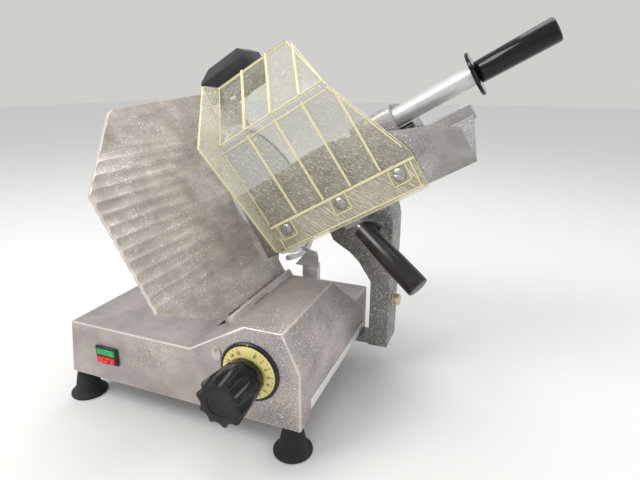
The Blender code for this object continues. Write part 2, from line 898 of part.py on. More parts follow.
knob = slab(
    "knob",
    [grip_outline],
    "y",
    -KNOB_FRONT,
    -0.027,
    Matrix.Translation((KNOB_X, 0, KNOB_Z)),
    dial_axis,
    "black_plastic",
)
soften(knob, 0.003, 2, 60)
collar = rod(
    "knob collar",
    (KNOB_X, -0.0073, KNOB_Z),
    (KNOB_X, -0.030, KNOB_Z),
    0.0225,
    LEVEL,
    dial_axis,
    None,
    cutters,
    32,
    0.0255,
)
add(knob, collar)
drill(knob, (KNOB_X, -KNOB_FRONT - 0.005, KNOB_Z), (KNOB_X, -KNOB_FRONT + 0.0035, KNOB_Z), 0.013, LEVEL, dial_axis)
drill(knob, (KNOB_X, 0, KNOB_Z), (KNOB_X, -0.0503, KNOB_Z), SHAFT_R + GAP, LEVEL, dial_axis)
rod(
    "knob_shaft",
    (KNOB_X, -0.050, KNOB_Z),
    (KNOB_X, CAM_Y + CAM_T, KNOB_Z),
    SHAFT_R,
    LEVEL,
    dial_axis,
    "steel",
)
cam_outline = []
for i in range(72):
    u = 2 * pi * i / 72
    grown = u if u <= KNOB_TURN + 0.03 else 0
    radius = CAM_R + GAUGE_TRAVEL * min(grown / KNOB_TURN, 1)
    facing = pi + TILT - u
    cam_outline.append((radius * cos(facing), radius * sin(facing)))
cam_bore = [(u, v) for u, v in arc((0, 0), SHAFT_R + GAP, 0, 345, 23)]
slab(
    "thickness_cam",
    [cam_outline, cam_bore],
    "y",
    CAM_Y,
    CAM_Y + CAM_T,
    Matrix.Translation((KNOB_X, 0, KNOB_Z)),
    dial_axis,
    "bronze",
)

# Front panel: switch with two buttons, and a bare oval plate.
bezel = box(
    "switch_bezel",
    (SWITCH_X - SWITCH_W / 2, -0.0030, SWITCH_Z - SWITCH_H / 2),
    (SWITCH_X + SWITCH_W / 2, -GAP, SWITCH_Z + SWITCH_H / 2),
    LEVEL,
    root,
    "black_plastic",
)
soften(bezel, 0.0008)
body_w, body_h = SWITCH_W - 0.004, SWITCH_H - 0.002
add_box(
    bezel,
    (SWITCH_X - body_w / 2, -0.0015, SWITCH_Z - body_h / 2),
    (SWITCH_X + body_w / 2, 0.0200, SWITCH_Z + body_h / 2),
    LEVEL,
    root,
)
cut_box(
    housing,
    (SWITCH_X - body_w / 2 - GAP, -0.01, SWITCH_Z - body_h / 2 - GAP),
    (SWITCH_X + body_w / 2 + GAP, 0.01, SWITCH_Z + body_h / 2 + GAP),
    LEVEL,
    root,
)
for name, middle, proud, colour in (
    ("green_button", SWITCH_Z + 0.0054, 0.0050, "green_plastic"),
    ("red_button", SWITCH_Z - 0.0054, 0.0065, "red_plastic"),
):
    press = pivot(name + "_axis", Matrix.Translation((SWITCH_X, 0, middle)), root)
    button = box(
        name,
        (SWITCH_X - BUTTON_W / 2, -proud, middle - BUTTON_H / 2),
        (SWITCH_X + BUTTON_W / 2, 0.0140, middle + BUTTON_H / 2),
        LEVEL,
        press,
        colour,
    )
    soften(button, 0.0008)
    cut_box(
        bezel,
        (SWITCH_X - BUTTON_W / 2 - GAP, -0.02, middle - BUTTON_H / 2 - GAP),
        (SWITCH_X + BUTTON_W / 2 + GAP, 0.03, middle + BUTTON_H / 2 + GAP),
        LEVEL,
        root,
    )
oval = [(0.245 + 0.0065 * cos(t), 0.1236 - 0.003 + 0.010 * sin(t)) for t in [2 * pi * i / 28 for i in range(28)]]
slab("oval_plate", [oval], "y", -0.0014, -GAP, LEVEL, root, "zinc")

# Underside: cover, capacitor, cable gland and feet.
cover_low = BASE_BOTTOM + GAP
bottom = box(
    "bottom_cover",
    (WALL + 0.0035, WALL + 0.0010, cover_low),
    (COVER_RIGHT - GAP, BASE_D - WALL - 0.0010, cover_low + COVER_T - GAP),
    LEVEL,
    root,
    "steel",
)
turned(
    "capacitor",
    [(0, 0.052), (0.015, 0.052), (0.017, 0.050), (0.017, 0), (0, 0)],
    (0.080, 0.200, cover_low + COVER_T),
    "z",
    LEVEL,
    root,
    "motor_paint",
)
gland_at = (0.060, BASE_D, 0.075)
gland = turned(
    "cable_gland",
    [
        (0.0062, 0.0072),
        (0.0062, -GAP),
        (0.0105, -GAP),
        (0.0105, -0.004),
        (0.0075, -0.010),
        (0.0040, -0.010),
        (0.0040, 0.0072),
    ],
    gland_at,
    "y",
    LEVEL,
    root,
    "black_plastic",
    steps=24,
)
drill(housing, (gland_at[0], BASE_D - 0.01, gland_at[2]), (gland_at[0], BASE_D + 0.01, gland_at[2]), 0.0065, LEVEL, root)
feet = (
    ("foot_front_left", FOOT_LEFT_X, FOOT_INSET),
    ("foot_front_right", FOOT_RIGHT_X, FOOT_INSET),
    ("foot_rear_left", FOOT_LEFT_X, BASE_D - FOOT_INSET),
    ("foot_rear_right", FOOT_REAR_RIGHT_X, BASE_D - FOOT_INSET),
)
for name, x, y in feet:
    turned(
        name,
        [
            (0, 0.0520),
            (FOOT_STUD_R, 0.0520),
            (FOOT_STUD_R, BASE_BOTTOM - GAP),
            (FOOT_STEM_R, BASE_BOTTOM - GAP),
            (FOOT_STEM_R + 0.0035, 0.020),
            (FOOT_R - 0.0070, 0.004),
            (FOOT_R - 0.0055, FOOT_LOW + 0.0055),
            (FOOT_R - 0.0010, FOOT_LOW + 0.0040),
            (FOOT_R, FOOT_LOW + 0.0030),
            (FOOT_R, FOOT_LOW + 0.0010),
            (FOOT_R - 0.001, FOOT_LOW),
            (0, FOOT_LOW),
        ],
        (x, y, 0),
        "z",
        LEVEL,
        root,
        "rubber",
        steps=28,
    )
    drill(housing, (x, y, BASE_BOTTOM - 0.005), (x, y, 0.0523), FOOT_STUD_R + GAP, LEVEL, root, 16)
    if x < COVER_RIGHT:
        drill(bottom, (x, y, BASE_BOTTOM - 0.005), (x, y, 0.0523), FOOT_STUD_R + GAP, LEVEL, root, 16)

# Carriage rod, guide bar and the block that slides on them.
rod_y0, rod_y1 = 0.0253, BASE_D - 0.0025
drill(housing, (ROD_X, rod_y0 - GAP, ROD_Z), (ROD_X, rod_y1 + GAP, ROD_Z), ROD_R + GAP, LEVEL, root)
rod("carriage_rod", (ROD_X, rod_y0, ROD_Z), (ROD_X, rod_y1, ROD_Z), ROD_R, LEVEL, root, "steel")
bar_x0, bar_x1, bar_z0, bar_z1 = BASE_W - 0.046, BASE_W - 0.040, 0.046, 0.058
box(
    "guide_bar",
    (bar_x0, CORNER + GAP, bar_z0),
    (bar_x1, BLOCK_Y1, bar_z1),
    LEVEL,
    root,
    "steel",
)
carriage = pivot("carriage_axis", Matrix.Translation((ROD_X, BLOCK_Y0, ROD_Z)), root)
block_x1 = BASE_W - WALL - 0.0008
block_x0 = bar_x1 + 0.0038
block_y1 = BLOCK_Y1 - RUN
block_bottom = BASE_BOTTOM + 0.0008
block = box(
    "slide_block",
    (block_x0, BLOCK_Y0, block_bottom),
    (block_x1, block_y1, 0.060),
    LEVEL,
    carriage,
    "cast_aluminium",
)
drill(block, (ROD_X, BLOCK_Y0 - 0.01, ROD_Z), (ROD_X, BLOCK_Y1 + 0.01, ROD_Z), ROD_R + RUN, LEVEL, carriage)
shoe = box(
    "guide_shoe",
    (bar_x0 - 0.0035, BLOCK_Y0 + 0.004, bar_z0 - 0.0035),
    (block_x0 - GAP, BLOCK_Y1 - 0.004, bar_z1 + 0.0035),
    LEVEL,
    carriage,
    "nylon",
)
cut_box(
    shoe,
    (bar_x0 - RUN, BLOCK_Y0 - 0.01, bar_z0 - RUN),
    (bar_x1 + RUN, BLOCK_Y1 + 0.01, bar_z1 + RUN),
    LEVEL,
    carriage,
)


def level(s, n):
    """A point of the slope frame as x and z."""
    return (s * cos(TILT) - n * sin(TILT), s * sin(TILT) + n * cos(TILT))


arm_top = PAD_N - GAP
arm_outline = [
    (ARM_X0, 0.0385),
    (ARM_X0, 0.145),
    (0.3528, 0.174),
    (0.338, 0.188),
    (0.324, 0.196),
    (0.311, 0.204),
    (0.307, 0.213),
    level(0.3724, arm_top),
    level(0.4744, arm_top),
    (0.3957, 0.2635),
    (ARM_X1, 0.242),
    (ARM_X1, 0.0385),
]
arm_gap = offset_outline([(0.352, 0.237), (0.390, 0.241), (0.381, 0.226)], 0.0005)
arm = slab(
    "support_arm",
    [arm_outline, arm_gap],
    "y",
    BLOCK_Y0,
    BLOCK_Y0 + ARM_D,
    LEVEL,
    carriage,
    "cast_aluminium",
)
soften(arm, 0.002, 2, 50)
neck_x0 = block_x1 + GAP
neck = box(
    "arm neck",
    (neck_x0, BLOCK_Y0 + 0.001, 0.0400),
    (ARM_X0 + 0.0045, block_y1, SLOT_TOP - 0.0015),
    LEVEL,
    carriage,
    None,
    cutters,
)
add(arm, neck)
bolt_at = (0.2530, 0.111)
drill(arm, (ARM_X0 + 0.008, *bolt_at), (ARM_X1 + 0.009, *bolt_at), 0.0043, LEVEL, carriage, 16)
bolt = rod("arm_bolt", (ARM_X0 + 0.0085, *bolt_at), (ARM_X1 + 0.005, *bolt_at), 0.004, LEVEL, carriage, "zinc", sides=16)
add(
    bolt,
    rod(
        "bolt head",
        (ARM_X1 + GAP, *bolt_at),
        (ARM_X1 + 0.011, *bolt_at),
        0.0095,
        LEVEL,
        carriage,
        None,
        cutters,
        6,
    ),
)

# Tray: front wall, sloping ribbed floor and folded back lip, cast with its mounting pad and handle lug.
rise = tan(TRAY_RISE)
floor_t = 0.005
back_y = TRAY_Y + TRAY_DEPTH


def floor_n(y):
    return TRAY_N + (y - TRAY_Y) * rise


ribs = []
rib_first, rib_last = TRAY_Y + 0.018, back_y - 0.012
for i in range(TRAY_RIBS):
    y = rib_first + (rib_last - rib_first) * i / (TRAY_RIBS - 1)
    ribs += [(y - 0.0015, floor_n(y - 0.0015)), (y - 0.0007, floor_n(y) + 0.0012)]
    ribs += [(y + 0.0007, floor_n(y) + 0.0012), (y + 0.0015, floor_n(y + 0.0015))]
lip_n = floor_n(back_y) + 0.017
section = (
    [
        (TRAY_Y, TRAY_N - floor_t),
        (TRAY_Y, 0.155),
        (TRAY_Y + TRAY_WALL, 0.155),
        (TRAY_Y + TRAY_WALL, floor_n(TRAY_Y + TRAY_WALL)),
    ]
    + ribs
    + [
        (back_y, floor_n(back_y)),
        (back_y + 0.002, lip_n - 0.002),
        (back_y + 0.004, lip_n),
        (back_y + 0.012, lip_n),
        (back_y + 0.014, lip_n - 0.002),
        (back_y + 0.014, floor_n(back_y) - 0.004),
        (back_y + 0.011, floor_n(back_y) - 0.004),
        (back_y + 0.011, lip_n - 0.004),
        (back_y + 0.005, lip_n - 0.004),
        (back_y + 0.003, floor_n(back_y) - floor_t + 0.001),
    ]
)
tray = slab("tray", [section], "s", TRAY_S0, TRAY_S1, SLOPE, carriage, "cast_aluminium")
wall_top = [
    (TRAY_S0 - 0.01, 0.1448),
    (0.318, 0.1448),
    (0.3567, 0.1457),
    (0.4209, 0.1494),
    (0.4496, 0.1488),
    (0.471, 0.1447),
    (0.4927, 0.1383),
    (0.547, 0.1174),
    (0.5864, 0.1041),
    (0.6108, 0.0862),
    (TRAY_S1 + 0.01, 0.075),
    (TRAY_S1 + 0.01, 0.17),
    (TRAY_S0 - 0.01, 0.17),
]
cut(
    tray,
    slab("wall top", [wall_top], "y", TRAY_Y - 0.01, TRAY_Y + TRAY_WALL + 0.002, SLOPE, carriage, None, cutters),
)
pad_y1 = BLOCK_Y0 + ARM_D + 0.003
pad = [
    (BLOCK_Y0 - 0.004, PAD_N),
    (BLOCK_Y0 - 0.004, floor_n(BLOCK_Y0 - 0.004) - 0.002),
    (pad_y1, floor_n(pad_y1) - 0.002),
    (pad_y1, PAD_N),
]
add(tray, slab("tray pad", [pad], "s", 0.366, 0.478, SLOPE, carriage, None, cutters))
add_box(tray, (0.415, TRAY_Y + 0.002, 0.031), (0.442, BLOCK_Y0 - 0.002, 0.0480), SLOPE, carriage)
bracket_y1 = PUSH_ROD_Y + 0.012
for low, high in ((0.288, 0.302), (0.598, 0.612)):
    add_box(
        tray,
        (low, back_y + 0.0125, PUSH_ROD_N - 0.011),
        (high, bracket_y1, PUSH_ROD_N + 0.011),
        SLOPE,
        carriage,
    )
drill(
    tray,
    (0.2915, PUSH_ROD_Y, PUSH_ROD_N),
    (0.6085, PUSH_ROD_Y, PUSH_ROD_N),
    PUSH_ROD_R + GAP,
    SLOPE,
    carriage,
)

# Carriage handle on a stud in the tray's lug.
reach = (HANDLE_END - HANDLE_START).normalized()
handle_axis = Matrix.Translation(HANDLE_START) @ reach.to_track_quat("Z", "Y").to_matrix().to_4x4()
handle_l = (HANDLE_END - HANDLE_START).length
handle = turned(
    "carriage_handle",
    [
        (0, handle_l),
        (0.0133, handle_l),
        (0.0150, handle_l - 0.0006),
        (0.0156, handle_l - 0.0025),
        (0.0155, handle_l * 0.6),
        (0.01375, 0.003),
        (0.0128, 0),
        (0, 0),
    ],
    (0, 0, 0),
    "z",
    handle_axis,
    carriage,
    "black_plastic",
)
stud_r = 0.005
drill(handle, (0, 0, -0.01), (0, 0, 0.0553), stud_r + GAP, handle_axis, carriage, 16)
rod("handle_stud", (0, 0, -0.0197), (0, 0, 0.055), stud_r, handle_axis, carriage, "steel", sides=16)
drill(tray, (0, 0, -0.0200), (0, 0, 0.02), stud_r + GAP, handle_axis, carriage, 16)

# Clear guard in front of the tray wall: a lower strip, a leaning panel and a folded-back top, with a side flange.
guard_y = TRAY_Y - GAP - GUARD_T / 2
guard_path = [(guard_y, 0.0375), (guard_y, 0.080), (0.160, 0.212), (0.240, 0.306)]
guard = slab(
    "guard",
    [ribbon(guard_path, GUARD_T)],
    "s",
    GUARD_S0,
    0.552,
    SLOPE,
    carriage,
    "clear_guard",
)
flange = [
    (0.240, 0.306),
    (0.200, 0.310),
    (0.115, 0.221),
    (0.165, 0.047),
    (guard_y, 0.0385),
    (guard_y, 0.080),
    (0.160, 0.212),
]
add(guard, slab("guard flange", [flange], "s", GUARD_S0, GUARD_S0 + FLANGE_T, SLOPE, carriage, None, cutters))
lower_lean = [(guard_y - 0.001, 0.084), (0.1592, 0.2085)]
upper_lean = [(0.1612, 0.2160), (0.2375, 0.3055)]
for where, places in ((lower_lean, (0.362, 0.409, 0.454, 0.500)), (upper_lean, (0.361, 0.407, 0.455))):
    for s in places:
        add(
            guard,
            slab(
                "guard rib",
                [ribbon(where, GUARD_T + 0.0024)],
                "s",
                s - 0.0015,
                s + 0.0015,
                SLOPE,
                carriage,
                None,
                cutters,
            ),
        )
add_box(guard, (GUARD_S0 + 0.001, guard_y - 0.0035, 0.0785), (0.55, guard_y - 0.001, 0.0820), SLOPE, carriage)
right_edge = [
    (0.549, 0.020),
    (0.546, 0.087),
    (0.542, 0.100),
    (0.4934, 0.212),
    (0.450, 0.300),
    (0.443, 0.3062),
    (0.443, 0.33),
    (0.60, 0.33),
    (0.60, 0.020),
]
cut(guard, slab("guard right", [right_edge], "y", 0.10, 0.27, SLOPE, carriage, None, cutters))
screw_r = 0.003
for i, s in enumerate((0.335, 0.4285, 0.520), 1):
    head_y = guard_y - GUARD_T / 2 - GAP
    turned(
        f"guard_screw_{i}",
        [
            (0, 0.0035),
            (0.0060, 0.0035),
            (0.0085, 0.0015),
            (0.0085, 0),
            (screw_r, 0),
            (screw_r, head_y - TRAY_Y - TRAY_WALL),
            (0, head_y - TRAY_Y - TRAY_WALL),
        ],
        (s, head_y, 0.0685),
        "y",
        SLOPE,
        carriage,
        "steel",
        steps=24,
    )
    for piece in (guard, tray):
        drill(piece, (s, 0.17, 0.0685), (s, 0.20, 0.0685), screw_r + GAP, SLOPE, carriage, 16)

# Pusher: a bush slides on the rod, and the arm lifts about it.
rod(
    "pusher_rod",
    (0.2918, PUSH_ROD_Y, PUSH_ROD_N),
    (0.6082, PUSH_ROD_Y, PUSH_ROD_N),
    PUSH_ROD_R,
    SLOPE,
    carriage,
    "steel",
)
push_at = (PUSH_ROD_Y, PUSH_ROD_N)
slider = pivot("pusher_slide_axis", SLOPE @ Matrix.Translation((PUSH_S0, *push_at)), carriage)
lifter = pivot("pusher_lift_axis", SLOPE @ Matrix.Translation((PUSH_S0, *push_at)), slider)
bush_r = PUSH_ROD_R + RUN + BUSH_T
turned(
    "pusher_bush",
    [
        (bush_r, PUSH_S1 + 0.001),
        (bush_r, PUSH_S0 - 0.001),
        (PUSH_ROD_R + RUN, PUSH_S0 - 0.001),
        (PUSH_ROD_R + RUN, PUSH_S1 + 0.001),
    ],
    (0, *push_at),
    "s",
    SLOPE,
    slider,
    "bronze",
)
hub_r = bush_r + RUN + 0.0035
over_lip = lip_n + 0.0035
arm_section = (
    arc(push_at, hub_r, -150, 60, 14)
    + [
        (0.380, 0.136),
        (0.300, 0.1555),
        (0.240, 0.157),
        (0.227, 0.154),
        (0.222, 0.147),
        (0.222, 0.112),
        (0.240, 0.106),
        (0.352, over_lip + 0.002),
        (0.362, over_lip),
        (0.386, over_lip),
    ]
)
push_arm = slab("pusher_arm", [arm_section], "s", PUSH_S0, PUSH_S1, SLOPE, lifter, "cast_aluminium")
soften(push_arm, 0.002, 2, 50)
drill(push_arm, (PUSH_S0 - 0.01, *push_at), (PUSH_S1 + 0.01, *push_at), bush_r + RUN, SLOPE, lifter)
tube_at = (TUBE_Y, TUBE_N)
tube_s0 = PUSH_S1 - 0.022
drill(push_arm, (tube_s0 - GAP, *tube_at), (PUSH_S1 + 0.01, *tube_at), TUBE_R + GAP, SLOPE, lifter)
turned(
    "pusher_tube",
    [
        (TUBE_R, TUBE_END),
        (TUBE_R, tube_s0),
        (TUBE_R - 0.0015, tube_s0),
        (TUBE_R - 0.0015, TUBE_END),
    ],
    (0, *tube_at),
    "s",
    SLOPE,
    lifter,
    "anodised_plate",
)
disc_s1 = TUBE_END + GAP + 0.0045
turned(
    "hand_disc",
    [
        (0, disc_s1),
        (DISC_R - 0.001, disc_s1),
        (DISC_R, disc_s1 - 0.001),
        (DISC_R, TUBE_END + GAP + 0.001),
        (DISC_R - 0.001, TUBE_END + GAP),
        (0, TUBE_END + GAP),
    ],
    (0, *tube_at),
    "s",
    SLOPE,
    lifter,
    "black_plastic",
)
grip = rod(
    "pusher_grip",
    (disc_s1 + GAP, *tube_at),
    (GRIP_END, *tube_at),
    GRIP_R,
    SLOPE,
    lifter,
    "black_plastic",
    sides=12,
    top=GRIP_R + 0.0008,
)
soften(grip, 0.003, 2, 60)
rod("lock_knob", (PUSH_S1 + GAP, 0.240, 0.1145), (0.552, 0.240, 0.1145), 0.0075, SLOPE, lifter, "black_plastic", sides=16)


def plate_low(y):
    return floor_n(y) + 0.005


push_plate = slab(
    "pusher_plate",
    [[(0.226, plate_low(0.226)), (0.346, plate_low(0.346)), (0.346, 0.140), (0.300, 0.152), (0.226, 0.152)]],
    "s",
    PUSH_S0 - 0.0053,
    PUSH_S0 - GAP,
    SLOPE,
    lifter,
    "cast_aluminium",
)
for row, n in enumerate((0.100, 0.122, 0.142)):
    for y in (0.238, 0.262, 0.286, 0.310):
        spike_s = PUSH_S0 - 0.0050
        spike = rod(
            "spike",
            (spike_s, y + 0.006 * (row % 2), n),
            (spike_s - 0.007, y + 0.006 * (row % 2), n),
            0.0025,
            SLOPE,
            lifter,
            None,
            cutters,
            6,
            0.0006,
        )
        add(push_plate, spike)

# The origin goes to the middle of the object's box, on the table.
bpy.context.view_layer.update()
graph = bpy.context.evaluated_depsgraph_get()
corners = []
for piece in parts.objects:
    if piece.type == "MESH":
        drawn = piece.evaluated_get(graph)
        corners += [drawn.matrix_world @ vertex.co for vertex in drawn.data.vertices]
low = [min(corner[i] for corner in corners) for i in range(3)]
high = [max(corner[i] for corner in corners) for i in range(3)]
root.location = (-(low[0] + high[0]) / 2, -(low[1] + high[1]) / 2, -low[2])
bpy.context.view_layer.update()
print("origin moved by", [round(v, 6) for v in root.location])
print("box", [round(high[i] - low[i], 5) for i in range(3)])
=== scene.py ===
"""The looks of a gravity-feed meat slicer, as an aged one that is used daily.

Lengths are in metres. LEVEL is the base's frame, with its origin at the base's front left corner.
SLOPE is the same frame turned with the gauge plate: x is s, square to the blade, and z is n, up the plate.
"""

from math import cos, pi, radians, sin

import bpy
from mathutils import Matrix, Vector


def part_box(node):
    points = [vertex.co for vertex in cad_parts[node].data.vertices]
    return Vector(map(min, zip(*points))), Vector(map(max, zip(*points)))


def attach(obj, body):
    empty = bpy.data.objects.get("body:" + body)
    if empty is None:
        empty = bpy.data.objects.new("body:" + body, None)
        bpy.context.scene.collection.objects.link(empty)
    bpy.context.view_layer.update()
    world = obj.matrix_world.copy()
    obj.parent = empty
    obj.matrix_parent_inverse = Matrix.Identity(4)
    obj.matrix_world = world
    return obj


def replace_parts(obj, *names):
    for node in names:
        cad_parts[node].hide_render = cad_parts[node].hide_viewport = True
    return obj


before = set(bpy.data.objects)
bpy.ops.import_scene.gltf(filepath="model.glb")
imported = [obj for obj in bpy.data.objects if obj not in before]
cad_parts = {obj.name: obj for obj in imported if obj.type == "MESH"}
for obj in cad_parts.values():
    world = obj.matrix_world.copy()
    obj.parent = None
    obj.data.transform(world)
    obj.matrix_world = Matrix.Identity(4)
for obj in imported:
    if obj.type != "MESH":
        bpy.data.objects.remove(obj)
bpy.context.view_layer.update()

# The base's front left corner in the row frame. The slope frame below turns about it.
CORNER = Vector((-0.28485, -0.18225, 0.0055))
TILT = radians(30)

# Gauge plate: its front face, and flutes that run out at FLUTE_END_Y.
PLATE_S = 0.2715
PLATE_LEFT_Y = -0.048
FLUTE_START_Y = -0.075
FLUTE_END_Y = 0.172
FLUTE_FIRST, FLUTE_LAST, FLUTE_RIDGES = 0.0664, 0.2558, 14
FLUTE_R = 0.0225
FLUTE_DEPTH = 0.0012

# Dial: its centre, its face, and the degrees clockwise from the top to its first number and between two.
DIAL_X, DIAL_Z = 0.2904, 0.1066
DIAL_FACE_Y = -0.0070
DIAL_FIRST, DIAL_STEP = 22, 21
DIAL_NUMBERS = 16
DIAL_NUMBER_R, DIAL_TICK_R = 0.0278, 0.0341

# Knob: its back and front planes, its radius, and the share of it that is left at the back.
KNOB_BACK, KNOB_FRONT, KNOB_R = -0.0092, -0.0680, 0.0305
KNOB_TAPER = 0.80
SCALLOPS = 10

# Guard: the sheet's thickness and the middle line of its section, as (y, n) corners from the foot up.
GUARD_T = 0.004
GUARD_PATH = [(0.1827, 0.0375), (0.1827, 0.080), (0.160, 0.212), (0.240, 0.306)]

LEVEL = Matrix.Translation(CORNER)
SLOPE = LEVEL @ Matrix.Rotation(-TILT, 4, "Y")
FACE_FRONT = Matrix.Rotation(pi / 2, 4, "X")


# Materials


def srgb(hex_code):
    values = [int(hex_code[i : i + 2], 16) / 255 for i in (1, 3, 5)]
    return (*[v / 12.92 if v <= 0.04045 else ((v + 0.055) / 1.055) ** 2.4 for v in values], 1.0)


def add(tree, kind, inputs=None, **settings):
    """One node with its settings. An input given as a socket is linked, and any other is a value."""
    made = tree.nodes.new(kind)
    for name, value in settings.items():
        setattr(made, name, value)
    for name, value in (inputs or {}).items():
        if isinstance(value, bpy.types.NodeSocket):
            tree.links.new(value, made.inputs[name])
        else:
            made.inputs[name].default_value = value
    return made


def begin(name):
    """A new material, its node tree, its Principled shader and the place of each point on the object."""
    material = bpy.data.materials.new(name)
    material.use_nodes = True
    tree = material.node_tree
    place = add(tree, "ShaderNodeTexCoord").outputs["Object"]
    return material, tree, tree.nodes["Principled BSDF"], place


def finish_surface(tree, shader, colour, roughness, height, strength, distance):
    """Links a colour, a roughness and a height for the bump to the shader."""
    bump = add(tree, "ShaderNodeBump", {"Height": height, "Strength": strength, "Distance": distance})
    tree.links.new(colour, shader.inputs["Base Color"])
    tree.links.new(roughness, shader.inputs["Roughness"])
    tree.links.new(bump.outputs["Normal"], shader.inputs["Normal"])


def remap(tree, value, low, high, to_low=0.0, to_high=1.0):
    """The value between two ends turned into a value between two others."""
    ends = {"Value": value, "From Min": low, "From Max": high, "To Min": to_low, "To Max": to_high}
    return add(tree, "ShaderNodeMapRange", ends).outputs["Result"]


def noise(tree, place, scale, detail, roughness=0.5, distortion=0.0):
    settings = {"Vector": place, "Scale": scale, "Detail": detail}
    settings |= {"Roughness": roughness, "Distortion": distortion}
    return add(tree, "ShaderNodeTexNoise", settings).outputs["Fac"]


def sum_of(tree, first, second):
    return add(tree, "ShaderNodeMath", {0: first, 1: second}, operation="ADD").outputs[0]


def product(tree, first, second):
    return add(tree, "ShaderNodeMath", {0: first, 1: second}, operation="MULTIPLY").outputs[0]


def larger(tree, first, second):
    return add(tree, "ShaderNodeMath", {0: first, 1: second}, operation="MAXIMUM").outputs[0]


def above(tree, value, limit):
    return add(tree, "ShaderNodeMath", {0: value, 1: limit}, operation="GREATER_THAN").outputs[0]


def blend(tree, share, first, second):
    """A mix of two colours, each a hex code or a socket."""
    first, second = (srgb(colour) if isinstance(colour, str) else colour for colour in (first, second))
    inputs = {"Factor": share, 6: first, 7: second}
    return add(tree, "ShaderNodeMix", inputs, data_type="RGBA").outputs[2]


def along_slope(tree, place):
    """The place turned with the slope, so that lines can follow the blade's plane."""
    return add(tree, "ShaderNodeMapping", {"Vector": place, "Rotation": (0, TILT, 0)}).outputs[0]


def stretched(tree, place, scale):
    return add(tree, "ShaderNodeMapping", {"Vector": place, "Scale": scale}).outputs[0]


def dots(tree, place, scale, edge, soft, chance):
    """Round spots, one in some of the cells of a grid with this many cells per metre."""
    cells = add(tree, "ShaderNodeTexVoronoi", {"Vector": place, "Scale": scale})
    dot = remap(tree, cells.outputs["Distance"], edge, edge - soft)
    return product(tree, dot, above(tree, cells.outputs["Color"], 1 - chance))


def weathered_aluminium(
    name, tone, stain, droplets, metallic=0.62, gloss=0.40, patches=16, rightward=0.0
):
    """Cast aluminium gone grey with washing: cloudy stains, a fine grain, and pale dried drops."""
    material, tree, shader, place = begin(name)
    cloud = noise(tree, place, patches, 7, 0.62)
    mixed = blend(tree, remap(tree, cloud, 0.36, 0.66), tone, stain)
    # Drops 1 to 2 mm across, on cells of 4 mm and 1.8 mm, where a patch of them dried.
    large = dots(tree, place, 250, 0.25, 0.08, 0.46 * droplets)
    small = dots(tree, place, 560, 0.34, 0.08, 0.40 * droplets)
    across = add(tree, "ShaderNodeSeparateXYZ", {"Vector": place}).outputs["X"]
    thicker = add(
        tree,
        "ShaderNodeMath",
        {0: across, 1: rightward, 2: noise(tree, place, 9, 3)},
        operation="MULTIPLY_ADD",
    )
    where = remap(tree, thicker.outputs[0], 0.38, 0.58)
    spots = product(tree, larger(tree, large, small), where)
    spotted = blend(tree, spots, mixed, "#EFEDE9")
    rough = remap(tree, cloud, 0.3, 0.7, gloss - 0.06, gloss + 0.12)
    # Cast skin, 0.6 mm grain.
    rise = sum_of(tree, spots, noise(tree, place, 1600, 3, 0.6))
    shader.inputs["Metallic"].default_value = metallic
    finish_surface(tree, shader, spotted, rough, rise, 0.22, 0.0003)
    return material


def brushed_anodised_aluminium():
    """The gauge plate: satin aluminium with fine lines along the flutes, dull stains and dried drops."""
    material, tree, shader, place = begin("satin_anodised_aluminium_worn")
    turned = along_slope(tree, place)
    # Lines about 1 mm apart that run for some 60 mm along the travel, and broader streaks.
    lines = noise(tree, stretched(tree, turned, (900, 16, 900)), 1, 4, 0.7)
    streaks = noise(tree, stretched(tree, turned, (60, 14, 60)), 1, 6, 0.7)
    cloud = noise(tree, place, 22, 8, 0.66)
    specks = dots(tree, place, 420, 0.40, 0.14, 0.50)
    specks = product(tree, specks, remap(tree, cloud, 0.42, 0.56))
    stain = sum_of(tree, cloud, streaks)
    tone = add(tree, "ShaderNodeValToRGB", {"Fac": remap(tree, stain, 0.72, 1.28)})
    tone.color_ramp.elements[0].color = srgb("#A39B93")
    tone.color_ramp.elements[1].color = srgb("#D9D2C9")
    middle = tone.color_ramp.elements.new(0.5)
    middle.color = srgb("#BFB8AF")
    spotted = blend(tree, specks, tone.outputs["Color"], "#F3F1ED")
    rough = remap(tree, stain, 0.7, 1.3, 0.60, 0.46)
    shader.inputs["Metallic"].default_value = 0.62
    finish_surface(tree, shader, spotted, rough, lines, 0.18, 0.0002)
    return material


def polycarbonate(name, tone, haze, clear, scratched):
    """Clear polycarbonate yellowed by age: a see-through sheet, scratched white by wiping."""
    material, tree, shader, place = begin(name)
    turned = along_slope(tree, place)
    scratches = []
    # Wiping marks about 1 mm wide and 17 mm long, in two directions.
    for turn, stretch in ((0.5, (900, 900, 60)), (-0.9, (60, 900, 900))):
        at = add(tree, "ShaderNodeMapping", {"Vector": turned, "Rotation": (0, turn, 0)}).outputs[0]
        marks = noise(tree, stretched(tree, at, stretch), 1, 2, distortion=0.6)
        scratches.append(remap(tree, marks, 0.60, 0.68))
    marked = larger(tree, *scratches)
    fog = remap(tree, noise(tree, place, 14, 6, 0.6), 0.40, 0.70, 0.0, 0.3)
    dull = larger(tree, product(tree, marked, scratched), fog)
    tint = blend(tree, dull, tone, haze)
    rough = remap(tree, dull, 0, 1, 0.12, 0.42)
    tree.links.new(remap(tree, dull, 0, 1, 1 - clear, 1 - clear * 0.42), shader.inputs["Alpha"])
    shader.inputs["IOR"].default_value = 1.585
    finish_surface(tree, shader, tint, rough, marked, 0.25, 0.0001)
    return material


